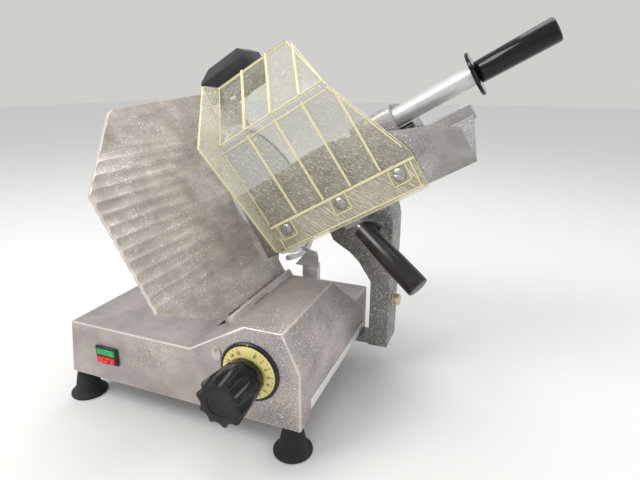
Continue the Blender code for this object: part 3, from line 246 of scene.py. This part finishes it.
def moulded_plastic(name, tone, worn, roughness, grain_mm=0.8, metallic=0.0, shine=0.5):
    """A moulded or painted surface: an even tone that is lighter where handled, with a fine skin."""
    material, tree, shader, place = begin(name)
    cloud = noise(tree, place, 45, 6, 0.65)
    tint = blend(tree, remap(tree, cloud, 0.52, 0.74), tone, worn)
    rough = remap(tree, cloud, 0.3, 0.7, roughness * 0.8, min(roughness * 1.35, 1.0))
    skin = noise(tree, place, 1 / (grain_mm / 1000), 2)
    shader.inputs["Metallic"].default_value = metallic
    shader.inputs["Specular IOR Level"].default_value = shine
    finish_surface(tree, shader, tint, rough, skin, 0.10, 0.0001)
    return material


def ground_steel(name, tone, dull, along, roughness=0.24, metallic=1.0):
    """Ground or drawn steel: bright, with fine lines one way (these axes' scales, in lines per metre)."""
    material, tree, shader, place = begin(name)
    lines = noise(tree, stretched(tree, along_slope(tree, place), along), 1, 4, 0.7)
    tint = blend(tree, lines, tone, dull)
    rough = remap(tree, lines, 0.3, 0.7, roughness, roughness * 1.7)
    shader.inputs["Metallic"].default_value = metallic
    finish_surface(tree, shader, tint, rough, lines, 0.12, 0.0001)
    return material


finishes = {
    # Aged cast aluminium: pinkish grey on the base, cooler and greyer on the arm and tray.
    "base_cast": weathered_aluminium(
        "weathered_cast_aluminium", "#BDB4B0", "#9C9592", 0.9, rightward=1.3
    ),
    "arm_cast": weathered_aluminium(
        "weathered_arm_aluminium", "#8C8A87", "#757371", 1.15, 0.55, 0.42, rightward=1.3
    ),
    "tray_cast": weathered_aluminium(
        "weathered_tray_aluminium", "#ABA7A4", "#8E8B88", 1.1, 0.65, 0.36, 26
    ),
    "pusher_cast": weathered_aluminium(
        "weathered_pusher_aluminium", "#B4B0AA", "#99958E", 1.3, 0.6, 0.38, 30, 1.2
    ),
    "plate": brushed_anodised_aluminium(),
    "tube": weathered_aluminium(
        "anodised_tube_aluminium", "#DEDDDB", "#C9C8C6", 0.7, 0.5, 0.34, 40
    ),
    "guard_panel": polycarbonate("yellowed_polycarbonate_panel", "#B5B196", "#F2F0E4", 0.84, 1.0),
    "guard_rim": polycarbonate("scratched_polycarbonate_rim", "#D6D1B2", "#F3F0DE", 0.72, 1.0),
    "guard_edge": polycarbonate("yellowed_polycarbonate_edge", "#EDE4AE", "#F8F3D6", 0.15, 0.8),
    # Near white for the ring's lug and its bolt: a painted highlight, so that their shaded faces stay light.
    "lug_highlight": weathered_aluminium(
        "machined_aluminium_painted_highlight", "#FAF8F5", "#E8E4E0", 0.3, 0.15, 0.34, 60
    ),
    # Pale aluminium: the oval plate's own tone, and painted edge highlights on the castings' rounded edges,
    # the lip and the gauge plate's edge.
    "edge_highlight_and_pale_plate": weathered_aluminium(
        "pale_aluminium_painted_edge_highlight", "#DBD4CE", "#C6BFB9", 0.2, 0.55, 0.32, 60
    ),
    # Near white with little metal: a painted highlight for the strip over the side slot.
    "rail_highlight": ground_steel("painted_rail_highlight", "#F1EFEA", "#DAD7D1", (900, 20, 900), 0.30, 0.35),
    # Phenolic: a black moulding polished by hands.
    "knob_black": moulded_plastic("polished_black_phenolic", "#09090A", "#151617", 0.14, 1.2, shine=0.35),
    "handle_brown": moulded_plastic("worn_brown_black_phenolic", "#1A1512", "#372E28", 0.24, 1.0, shine=0.5),
    "black_abs": moulded_plastic("moulded_black_abs", "#161617", "#2A2A2C", 0.38, 0.9),
    "dial_yellow": moulded_plastic("printed_yellow_dial_plastic", "#F0E391", "#E6D67E", 0.36, 1.0),
    "dial_ink": moulded_plastic("black_dial_ink", "#2B2A26", "#45433B", 0.5, 0.7),
    "green": moulded_plastic("green_button_plastic", "#169A50", "#2DB266", 0.28, 1.0),
    "red": moulded_plastic("red_button_plastic", "#D6262C", "#E4494B", 0.28, 1.0),
    "rubber": moulded_plastic("moulded_black_rubber", "#1B1B1C", "#303031", 0.72, 0.7),
    "belt_rubber": moulded_plastic("ribbed_belt_rubber", "#202020", "#333333", 0.8, 0.6),
    "motor_paint": moulded_plastic("black_stove_enamel", "#1F2123", "#343739", 0.42, 1.1),
    "nylon": moulded_plastic("white_nylon", "#D8D6CF", "#C6C3BA", 0.5, 0.8),
    "stone": moulded_plastic("grey_corundum_stone", "#6E615B", "#8A7B73", 0.95, 0.5),
    "bronze": moulded_plastic("oiled_bronze", "#A9804C", "#8A6638", 0.36, 0.9, 1.0),
    "zinc": moulded_plastic("yellow_zinc_plate", "#D3C7AF", "#E6DDC9", 0.28, 0.8, 0.85),
    "drawn_steel": ground_steel("drawn_bright_steel", "#D3D2CF", "#A9A8A5", (900, 20, 900)),
    "screw_steel": ground_steel("turned_screw_steel", "#C4C2BE", "#97958F", (500, 500, 500), 0.3),
    "sheet_steel": ground_steel("rolled_sheet_steel", "#B9B8B5", "#9B9A97", (30, 700, 700), 0.34),
    "blade_steel": ground_steel("ground_blade_steel", "#D9D9D8", "#B4B4B3", (500, 240, 240), 0.16),
}

# Each finish stands for one of the record's material slots.
slots = {
    "base_cast": "cast_aluminium",
    "arm_cast": "cast_aluminium",
    "tray_cast": "cast_aluminium",
    "pusher_cast": "cast_aluminium",
    "plate": "anodised_plate",
    "tube": "anodised_plate",
    "guard_edge": "clear_guard",
    "rail_highlight": "steel",
    "edge_highlight_and_pale_plate": "zinc",
    "lug_highlight": "anodised_plate",
    "knob_black": "black_plastic",
    "handle_brown": "black_plastic",
    "black_abs": "black_plastic",
    "dial_yellow": "dial_yellow",
    "green": "green_plastic",
    "red": "red_plastic",
    "rubber": "rubber",
    "belt_rubber": "rubber",
    "motor_paint": "motor_paint",
    "nylon": "nylon",
    "stone": "stone",
    "bronze": "bronze",
    "zinc": "zinc",
    "drawn_steel": "steel",
    "screw_steel": "steel",
    "sheet_steel": "steel",
    "blade_steel": "blade_steel",
}


# Modelling


def choose(piece):
    """Makes one piece the only selected and active one."""
    bpy.ops.object.select_all(action="DESELECT")
    piece.select_set(True)
    bpy.context.view_layer.objects.active = piece


def apply_modifiers(piece):
    choose(piece)
    for modifier in list(piece.modifiers):
        bpy.ops.object.modifier_apply(modifier=modifier.name)


def round_edges(piece, width, segments=2, angle=32):
    bevel = piece.modifiers.new("rounded", "BEVEL")
    bevel.width = width
    bevel.segments = segments
    bevel.limit_method = "ANGLE"
    bevel.angle_limit = radians(angle)
    apply_modifiers(piece)


def settle(piece, name, body, finish, slot=None, crease=38):
    """A finished piece: placed in its mesh, shaded, painted and riding on its body."""
    choose(piece)
    bpy.ops.object.transform_apply(location=True, rotation=True, scale=True)
    bpy.ops.object.shade_smooth_by_angle(angle=radians(crease))
    piece.name = name
    piece.data.name = name
    if finish:
        piece.data.materials.clear()
        piece.data.materials.append(finishes[finish])
        slot = slot or slots[finish]
    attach(piece, body)
    return piece


def copy_of(node):
    """A welded copy of a CAD node, with its flat faces made whole again."""
    choose(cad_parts[node])
    bpy.ops.object.duplicate()
    piece = bpy.context.active_object
    for key in [k for k in piece.keys() if k.startswith("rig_")]:
        del piece[key]
    piece.parent = None
    piece.data.materials.clear()
    bpy.ops.object.mode_set(mode="EDIT")
    bpy.ops.mesh.select_all(action="SELECT")
    bpy.ops.mesh.remove_doubles(threshold=0.000004)
    bpy.ops.mesh.dissolve_limited(angle_limit=radians(0.6))
    bpy.ops.object.mode_set(mode="OBJECT")
    return piece


def block(low, high, place=SLOPE):
    """A box between two corners of the slope or level frame."""
    bpy.ops.object.select_all(action="DESELECT")
    bpy.ops.mesh.primitive_cube_add(size=1)
    piece = bpy.context.active_object
    low, high = Vector(low), Vector(high)
    size = high - low
    piece.matrix_world = place @ Matrix.Translation((low + high) / 2) @ Matrix.Diagonal((*size, 1))
    choose(piece)
    bpy.ops.object.transform_apply(location=True, rotation=True, scale=True)
    return piece


def bar(radius, length, where, sides=48):
    """A round bar whose middle and direction are given by a matrix."""
    bpy.ops.object.select_all(action="DESELECT")
    bpy.ops.mesh.primitive_cylinder_add(radius=radius, depth=length, vertices=sides)
    piece = bpy.context.active_object
    piece.matrix_world = where
    choose(piece)
    bpy.ops.object.transform_apply(location=True, rotation=True, scale=True)
    return piece


def join(pieces):
    bpy.ops.object.select_all(action="DESELECT")
    for piece in pieces:
        piece.select_set(True)
    bpy.context.view_layer.objects.active = pieces[0]
    bpy.ops.object.join()
    return pieces[0]


def cut(piece, cutter):
    change = piece.modifiers.new("cut", "BOOLEAN")
    change.operation = "DIFFERENCE"
    change.object = cutter
    change.use_self = True
    apply_modifiers(piece)
    bpy.data.objects.remove(cutter)


# Gauge plate: shallow flutes that run out towards the blade.
plate = copy_of("gauge_plate")
flutes = []
pitch = (FLUTE_LAST - FLUTE_FIRST) / (FLUTE_RIDGES - 1)
length = FLUTE_END_Y - FLUTE_START_Y
middle_y = (FLUTE_END_Y + FLUTE_START_Y) / 2
lean = FLUTE_DEPTH / (FLUTE_END_Y - PLATE_LEFT_Y)
depth = lean * (FLUTE_END_Y - middle_y)
for i in range(FLUTE_RIDGES - 1):
    n = FLUTE_FIRST + (i + 0.5) * pitch
    flutes.append(
        bar(
            FLUTE_R,
            length,
            SLOPE
            @ Matrix.Translation((PLATE_S + FLUTE_R - depth, middle_y, n))
            @ Matrix.Rotation(-lean, 4, "Z")
            @ FACE_FRONT,
            96,
        )
    )
cut(plate, join(flutes))
plate = settle(plate, "fluted_gauge_plate", "gauge", "plate", crease=9)
plate.data.materials.append(finishes["edge_highlight_and_pale_plate"])
to_slope = SLOPE.inverted()
for face in plate.data.polygons:
    # The plate's own edge is painted light all round, as an edge highlight.
    if abs((to_slope.to_3x3() @ face.normal).x) < 0.6:
        face.material_index = 1
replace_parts(plate, "gauge_plate")

# Guard: clear panels, with yellowed ribs, rims and flange.
guard = copy_of("guard")
round_edges(guard, 0.0005, 1)
for finish in ("guard_edge", "guard_panel", "guard_rim"):
    guard.data.materials.append(finishes[finish])
for face in guard.data.polygons:
    middle = to_slope @ face.center
    facing = to_slope.to_3x3() @ face.normal
    face.material_index = 0
    if middle.x < 0.3125 and abs(facing.x) > 0.98:
        face.material_index = 2
    elif middle.z < 0.0800 and abs(facing.y) > 0.98 and middle.x > 0.312:
        face.material_index = 2
    for (y0, n0), (y1, n1) in zip(GUARD_PATH[1:], GUARD_PATH[2:]):
        along = Vector((y1 - y0, n1 - n0)).normalized()
        across = Vector((-along.y, along.x))
        away = Vector((middle.y - y0, middle.z - n0))
        on_sheet = abs(away.dot(across)) < GUARD_T / 2 + 0.0004
        faces_out = abs(facing.yz.dot(across)) > 0.98
        if on_sheet and faces_out and -0.002 < away.dot(along) < 0.2 and middle.x > 0.313:
            face.material_index = 1
guard = settle(guard, "clear_guard_shield", "carriage", None, "clear_guard")
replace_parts(guard, "guard")

# Thin yellow beads along the panels' edges, and raised frames about the screws.


def panel_strip(s0, s1, y0, n0, y1, n1, width, thick=0.0016):
    """A thin strip on a leaning panel's front, from one place to another."""
    start, end = Vector((s0, y0, n0)), Vector((s1, y1, n1))
    run = end - start
    middle = (start + end) / 2
    bpy.ops.object.select_all(action="DESELECT")
    bpy.ops.mesh.primitive_cube_add(size=1)
    piece = bpy.context.active_object
    lean_y, lean_n = (GUARD_PATH[2][0] - GUARD_PATH[1][0], GUARD_PATH[2][1] - GUARD_PATH[1][1])
    if middle.z > GUARD_PATH[2][1]:
        lean_y, lean_n = (GUARD_PATH[3][0] - GUARD_PATH[2][0], GUARD_PATH[3][1] - GUARD_PATH[2][1])
    out = Vector((0, -lean_n, lean_y)).normalized()
    x_axis = run.normalized()
    y_axis = out.cross(x_axis).normalized()
    turn = Matrix((x_axis, y_axis, out)).transposed().to_4x4()
    middle += out * (GUARD_T / 2 + thick / 2 - 0.0004)
    piece.matrix_world = (
        SLOPE @ Matrix.Translation(middle) @ turn @ Matrix.Diagonal((run.length, width, thick, 1))
    )
    choose(piece)
    bpy.ops.object.transform_apply(location=True, rotation=True, scale=True)
    round_edges(piece, 0.0004, 1)
    return piece


def band_strip(s0, s1, n0, n1):
    """A raised line on the upright band that the screws go through."""
    front = GUARD_PATH[0][0] - GUARD_T / 2
    strip = block((s0, front - 0.0012, n0), (s1, front + 0.0006, n1))
    round_edges(strip, 0.0003, 1)
    return strip


LEFT_BEAD, BEAD = 0.3135, 0.0022
strips = [
    panel_strip(LEFT_BEAD, LEFT_BEAD, 0.1815, 0.086, 0.1605, 0.208, BEAD),
    panel_strip(LEFT_BEAD, LEFT_BEAD, 0.1625, 0.215, 0.2385, 0.304, BEAD),
    panel_strip(0.5400, 0.4930, 0.1795, 0.098, 0.1605, 0.2085, BEAD),
    panel_strip(0.4910, 0.4445, 0.1625, 0.215, 0.2365, 0.3020, BEAD),
    panel_strip(0.314, 0.442, 0.2360, 0.3015, 0.2360, 0.3015, BEAD),
    panel_strip(0.314, 0.491, 0.1612, 0.2055, 0.1612, 0.2055, BEAD),
    panel_strip(0.314, 0.489, 0.1628, 0.2155, 0.1628, 0.2155, BEAD),
    band_strip(0.3165, 0.5440, 0.0422, 0.0440),
    band_strip(0.3165, 0.3183, 0.0440, 0.0600),
    band_strip(0.5390, 0.5408, 0.0440, 0.0785),
]
for s in (0.335, 0.4285, 0.520):
    strips += [
        band_strip(s - 0.0135, s - 0.0120, 0.0550, 0.0785),
        band_strip(s + 0.0120, s + 0.0135, 0.0550, 0.0785),
        band_strip(s - 0.0135, s + 0.0135, 0.0550, 0.0565),
    ]
settle(join(strips), "guard_beads", "carriage", "guard_edge")

# Dial: numbers every 21 degrees clockwise, a tick at each and a short one between.
marks = []
for k in range(DIAL_NUMBERS):
    clockwise = radians(DIAL_FIRST + DIAL_STEP * k)
    bpy.ops.object.select_all(action="DESELECT")
    bpy.ops.object.text_add()
    number = bpy.context.active_object
    number.data.body = str(k)
    number.data.size = 0.0062
    number.data.align_x = "CENTER"
    number.data.align_y = "CENTER"
    number.data.extrude = 0.00012
    bpy.ops.object.convert(target="MESH")
    across, up = DIAL_NUMBER_R * sin(clockwise), DIAL_NUMBER_R * cos(clockwise)
    number.matrix_world = (
        LEVEL
        @ Matrix.Translation((DIAL_X + across, DIAL_FACE_Y - 0.0001, DIAL_Z + up))
        @ Matrix.Rotation(clockwise, 4, "Y")
        @ FACE_FRONT
    )
    choose(number)
    bpy.ops.object.transform_apply(location=True, rotation=True, scale=True)
    marks.append(number)
for k in range(2 * DIAL_NUMBERS - 1):
    clockwise = radians(DIAL_FIRST + DIAL_STEP * k / 2)
    inner = 0.0312 if k % 2 == 0 else 0.0322
    tick = block((-0.00028, -0.0002, inner), (0.00028, 0.0, DIAL_TICK_R), Matrix.Identity(4))
    tick.matrix_world = (
        LEVEL
        @ Matrix.Translation((DIAL_X, DIAL_FACE_Y, DIAL_Z))
        @ Matrix.Rotation(clockwise, 4, "Y")
    )
    choose(tick)
    bpy.ops.object.transform_apply(location=True, rotation=True, scale=True)
    marks.append(tick)
settle(join(marks), "dial_numbers", "knob", "dial_ink", "dial_yellow")

# Index mark at the top of the dial's black rim.
index = block(
    (DIAL_X - 0.0004, -0.0048, DIAL_Z + 0.0356),
    (DIAL_X + 0.0004, -0.0040, DIAL_Z + 0.0382),
    LEVEL,
)
round_edges(index, 0.0001, 1)
settle(index, "dial_index", "base", "dial_yellow")

# A black block painted in as the shade inside the lip's slot, and the ridge on the stop button.
slot_shade_block = block((0.2806, 0.098, -0.0026), (0.2836, 0.137, 0.0010))
round_edges(slot_shade_block, 0.0005, 2)
settle(slot_shade_block, "slot_painted_shade", "base", "black_abs")
ridge = block((0.0655, -0.0100, 0.0700), (0.0775, -0.0050, 0.0745), LEVEL)
round_edges(ridge, 0.0014, 3)
settle(ridge, "stop_button_ridge", "red_button", "red")

# Knob: ten shallow scallops round a body that widens to a rounded front.
knob = bar(
    KNOB_R,
    KNOB_BACK - KNOB_FRONT,
    LEVEL
    @ Matrix.Translation((DIAL_X, (KNOB_BACK + KNOB_FRONT) / 2, DIAL_Z))
    @ FACE_FRONT,
    160,
)
knob_mouth = LEVEL @ Vector((DIAL_X, 0, DIAL_Z))
for vertex in knob.data.vertices:
    if vertex.co.y > knob_mouth.y - 0.02:
        vertex.co.x = knob_mouth.x + (vertex.co.x - knob_mouth.x) * KNOB_TAPER
        vertex.co.z = knob_mouth.z + (vertex.co.z - knob_mouth.z) * KNOB_TAPER
round_edges(knob, 0.0042, 6, 60)
scallops = []
for k in range(SCALLOPS):
    scallops.append(
        bar(
            0.0095,
            0.08,
            LEVEL
            @ Matrix.Translation((DIAL_X, 0, DIAL_Z))
            @ Matrix.Rotation(radians(360 / SCALLOPS * k + 9), 4, "Y")
            @ Matrix.Translation((0, (KNOB_BACK + KNOB_FRONT) / 2, KNOB_R + 0.0056))
            @ Matrix.Rotation(pi / 2 + 0.100, 4, "X"),
            32,
        )
    )
cut(knob, join(scallops))
recess = bar(
    0.0150,
    0.0012,
    LEVEL @ Matrix.Translation((DIAL_X, KNOB_FRONT, DIAL_Z)) @ FACE_FRONT,
    96,
)
cut(knob, recess)
round_edges(knob, 0.0007, 3, 28)
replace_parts(settle(knob, "scalloped_knob", "knob", "knob_black"), "knob")

# A near-white strip along the right wall, over the slot that the arm's neck runs in: a painted highlight
# standing in for the lit carriage rod inside the slot.
highlight_strip = block((0.3548, 0.0300, 0.0508), (0.3562, 0.2520, 0.0640), LEVEL)
round_edges(highlight_strip, 0.0004, 2)
settle(highlight_strip, "rail_highlight_strip", "base", "rail_highlight")

# Washer and nut of the arm's bolt, and the oval plate's screw.
along_x = Matrix.Rotation(pi / 2, 4, "Y")
washer = bar(0.0105, 0.0020, LEVEL @ Matrix.Translation((0.4020, 0.253, 0.111)) @ along_x, 48)
nut = bar(0.0082, 0.0105, LEVEL @ Matrix.Translation((0.4078, 0.253, 0.111)) @ along_x, 6)
washer = join([washer, nut])
round_edges(washer, 0.0005, 2)
settle(washer, "arm_bolt_nut", "carriage", "zinc")
small_screw = bar(0.0032, 0.0016, LEVEL @ Matrix.Translation((0.245, -0.0012, 0.1262)) @ FACE_FRONT)
cut(small_screw, block((0.241, -0.0026, 0.1258), (0.249, -0.0015, 0.1266), LEVEL))
settle(small_screw, "oval_plate_screw", "base", "screw_steel")

# Lug at the blade ring's lower end, painted near white as a highlight: a post on the base, a tapered cap
# that leans back, and a bolt.
post = block((0.2510, 0.2470, 0.0770), (0.2765, 0.2620, 0.1500), LEVEL)
cap_place = LEVEL @ Matrix.Translation((0.2605, 0.2440, 0.1490)) @ Matrix.Rotation(radians(42), 4, "X")
cap_half = 0.0205
cap = block((-cap_half, 0.0, -0.0030), (cap_half, 0.0230, 0.0), cap_place)
left_side = cap_place @ Matrix.Translation((-cap_half, 0, 0)) @ Matrix.Rotation(radians(-26), 4, "Z")
cut(cap, block((-0.02, -0.02, -0.01), (0.0, 0.05, 0.01), left_side))
right_side = cap_place @ Matrix.Translation((cap_half, 0, 0)) @ Matrix.Rotation(radians(21), 4, "Z")
cut(cap, block((0.0, -0.02, -0.01), (0.02, 0.05, 0.01), right_side))
fin = block((0.2437, 0.2570, 0.1600), (0.2717, 0.2620, 0.1735), LEVEL)
fin_tip = LEVEL @ Matrix.Translation((0.2437, 0.2595, 0.1735))
over_fin = fin_tip @ Matrix.Rotation(radians(12.5), 4, "Y")
cut(fin, block((-0.02, -0.02, 0.0), (0.05, 0.02, 0.02), over_fin))
under_fin = fin_tip @ Matrix.Rotation(radians(38.5), 4, "Y")
cut(fin, block((-0.02, -0.02, -0.03), (0.05, 0.02, 0.0), under_fin))
lug = join([post, cap, fin])
round_edges(lug, 0.0005, 2)
# The lug and its bolt are painted near white, a highlight that holds in their shade.
settle(lug, "ring_lug", "base", "lug_highlight")
lug_bolt = bar(0.0072, 0.0070, LEVEL @ Matrix.Translation((0.2655, 0.2450, 0.1400)) @ FACE_FRONT)
round_edges(lug_bolt, 0.0018, 3)
settle(lug_bolt, "ring_lug_bolt", "base", "lug_highlight")

# Screw heads with a slit across.
for k in (1, 2, 3):
    screw = copy_of(f"guard_screw_{k}")
    low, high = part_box(f"guard_screw_{k}")
    middle = (low + high) / 2
    slit = block(
        (middle.x - 0.012, low.y - 0.002, middle.z - 0.0008),
        (middle.x + 0.012, low.y + 0.0013, middle.z + 0.0008),
        Matrix.Identity(4),
    )
    turn = Matrix.Rotation(radians(25 + 50 * k), 4, "Y")
    slit.data.transform(Matrix.Translation(middle) @ turn @ Matrix.Translation(-middle))
    cut(screw, slit)
    screw = settle(screw, f"slotted_guard_screw_{k}", "carriage", "screw_steel")
    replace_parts(screw, f"guard_screw_{k}")

# Every other piece is a welded copy of its solid, with its edges eased as a casting's or a moulding's are.
finished = (
    ("base_housing", "base", "base_cast", 0.0),
    ("blade_column", "base", "base_cast", 0.0012),
    ("sharpener_base", "base", "base_cast", 0.0008),
    ("support_arm", "carriage", "arm_cast", 0.0),
    ("slide_block", "carriage", "arm_cast", 0.0008),
    ("tray", "carriage", "tray_cast", 0.0006),
    ("gauge_carrier", "gauge", "base_cast", 0.0008),
    ("pusher_arm", "pusher", "pusher_cast", 0.0),
    ("pusher_plate", "pusher", "pusher_cast", 0.0),
    ("pusher_tube", "pusher", "tube", 0.0),
    ("blade_ring_guard", "base", "tube", 0.0006),
    ("slice_deflector", "base", "tube", 0.0004),
    ("dial_bezel", "base", "black_abs", 0.0),
    ("dial_ring", "knob", "dial_yellow", 0.0),
    ("switch_bezel", "base", "black_abs", 0.0),
    ("green_button", "green_button", "green", 0.0),
    ("red_button", "red_button", "red", 0.0),
    ("carriage_handle", "carriage", "handle_brown", 0.0),
    ("pusher_grip", "pusher", "knob_black", 0.0),
    ("hand_disc", "pusher", "knob_black", 0.0),
    ("lock_knob", "pusher", "black_abs", 0.0008),
    ("sharpener_cover", "sharpener_cover", "black_abs", 0.0007),
    ("cable_gland", "base", "black_abs", 0.0),
    ("blade_pulley", "blade", "black_abs", 0.0),
    ("motor_pulley", "motor_rotor", "black_abs", 0.0),
    ("oval_plate", "base", "edge_highlight_and_pale_plate", 0.0003),
    ("arm_bolt", "carriage", "zinc", 0.0006),
    ("thickness_cam", "knob", "bronze", 0.0),
    ("pusher_bush", "pusher_slider", "bronze", 0.0),
    ("foot_front_left", "base", "rubber", 0.0),
    ("foot_front_right", "base", "rubber", 0.0),
    ("foot_rear_left", "base", "rubber", 0.0),
    ("foot_rear_right", "base", "rubber", 0.0),
    ("drive_belt", "base", "belt_rubber", 0.0),
    ("sharpening_stone", "sharpening_stone", "stone", 0.0),
    ("honing_stone", "honing_stone", "stone", 0.0),
    ("motor_body", "base", "motor_paint", 0.0),
    ("capacitor", "base", "motor_paint", 0.0),
    ("guide_shoe", "carriage", "nylon", 0.0006),
    ("blade", "blade", "blade_steel", 0.0),
    ("blade_nut", "blade", "drawn_steel", 0.0),
    ("spindle", "blade", "drawn_steel", 0.0),
    ("spindle_bearings", "base", "screw_steel", 0.0),
    ("bottom_cover", "base", "sheet_steel", 0.0),
    ("motor_bracket", "base", "sheet_steel", 0.0),
    ("motor_shaft", "motor_rotor", "drawn_steel", 0.0),
    ("gauge_screw", "gauge", "screw_steel", 0.0),
    ("cam_follower", "gauge", "screw_steel", 0.0),
    ("gauge_rod", "base", "drawn_steel", 0.0),
    ("knob_shaft", "knob", "drawn_steel", 0.0),
    ("carriage_rod", "base", "drawn_steel", 0.0),
    ("guide_bar", "base", "drawn_steel", 0.0),
    ("handle_stud", "carriage", "drawn_steel", 0.0),
    ("pusher_rod", "carriage", "drawn_steel", 0.0),
)
for node, body, finish, easing in finished:
    piece = copy_of(node)
    if easing:
        round_edges(piece, easing)
    piece = settle(piece, "finished_" + node, body, finish)
    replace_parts(piece, node)
    if node != "base_housing":
        continue
    # The casting's rounded edges, the long faces under 2 mm wide, are painted light as edge highlights.
    piece.data.materials.append(finishes["edge_highlight_and_pale_plate"])
    for face in piece.data.polygons:
        corners = [piece.data.vertices[i].co for i in face.vertices]
        sides = [(a - b).length for a, b in zip(corners, corners[1:] + corners[:1])]
        if max(sides) > 0.02 and 2 * face.area / sum(sides) < 0.0019:
            face.material_index = 1
        # So is the lip beside the gauge plate's foot, painted light as a highlight.
        middle = to_slope @ face.center
        if 0.2720 < middle.x < 0.2835 and 0.0400 < middle.y < 0.2240 and middle.z > -0.0035:
            face.material_index = 1


# Floor, light and camera


def plain_paint(name, tone):
    """Matt studio paint with a faint mottle."""
    material, tree, shader, place = begin(name)
    mottle = add(tree, "ShaderNodeTexNoise", {"Vector": place, "Scale": 30, "Detail": 4})
    tint = add(tree, "ShaderNodeMix", {"Factor": mottle.outputs["Fac"]}, data_type="RGBA")
    tint.inputs[6].default_value = srgb(tone)
    tint.inputs[7].default_value = [v * 0.985 for v in srgb(tone)[:3]] + [1]
    tree.links.new(tint.outputs[2], shader.inputs["Base Color"])
    shader.inputs["Roughness"].default_value = 0.9
    return material


bpy.ops.object.select_all(action="DESELECT")
bpy.ops.mesh.primitive_plane_add(size=14, location=(0, 2, 0))
floor = bpy.context.active_object
floor.name = "studio_floor"
floor.data.materials.append(plain_paint("matt_pale_floor_paint", "#E4E3E0"))

scene = bpy.context.scene
scene.view_settings.view_transform = "Standard"
world = bpy.data.worlds.new("studio")
scene.world = world
world.use_nodes = True
sky = world.node_tree.nodes["Background"]
sky.inputs["Color"].default_value = srgb("#E6E7E9")
sky.inputs["Strength"].default_value = 0.92
# The camera sees a plain pale backdrop; the object is lit by the soft sky.
rays = add(world.node_tree, "ShaderNodeLightPath")
backdrop = add(world.node_tree, "ShaderNodeBackground", {"Color": srgb("#D0CFCC"), "Strength": 1.0})
seen = add(
    world.node_tree,
    "ShaderNodeMixShader",
    {0: rays.outputs["Is Camera Ray"]},
)
world.node_tree.links.new(sky.outputs[0], seen.inputs[1])
world.node_tree.links.new(backdrop.outputs[0], seen.inputs[2])
world.node_tree.links.new(seen.outputs[0], world.node_tree.nodes["World Output"].inputs["Surface"])


def softbox(name, place, target, width, height, power, tone="#FFFFFF"):
    lamp = bpy.data.lights.new(name, "AREA")
    lamp.shape = "RECTANGLE"
    lamp.size = width
    lamp.size_y = height
    lamp.energy = power
    lamp.color = srgb(tone)[:3]
    holder = bpy.data.objects.new(name, lamp)
    scene.collection.objects.link(holder)
    holder.location = place
    holder.rotation_euler = (Vector(target) - Vector(place)).to_track_quat("-Z", "Y").to_euler()


softbox("key", (-1.1, -1.1, 1.7), (0, 0, 0.2), 1.0, 1.0, 25)
softbox("top", (0.1, 0.6, 2.0), (0, 0, 0.2), 1.2, 1.2, 14)
softbox("side", (1.6, -0.2, 0.9), (0, 0, 0.25), 0.6, 1.2, 3)

YAW, PITCH, ROLL = radians(21.35), radians(18.23), radians(0.32)
forward = Vector((-sin(YAW) * cos(PITCH), cos(YAW) * cos(PITCH), -sin(PITCH)))
right = Vector((cos(YAW), sin(YAW), 0))
up = right.cross(forward)
rolled_right = right * cos(ROLL) + up * sin(ROLL)
rolled_up = up * cos(ROLL) - right * sin(ROLL)
lens = bpy.data.cameras.new("photo view")
lens.sensor_width = 36
lens.lens = 27.58
camera = bpy.data.objects.new("photo view", lens)
scene.collection.objects.link(camera)
eye = Vector((0.5492, -0.4378, 0.4358)) + CORNER
turned = Matrix((rolled_right, rolled_up, -forward)).transposed()
camera.matrix_world = Matrix.Translation(eye) @ turned.to_4x4()
scene.camera = camera
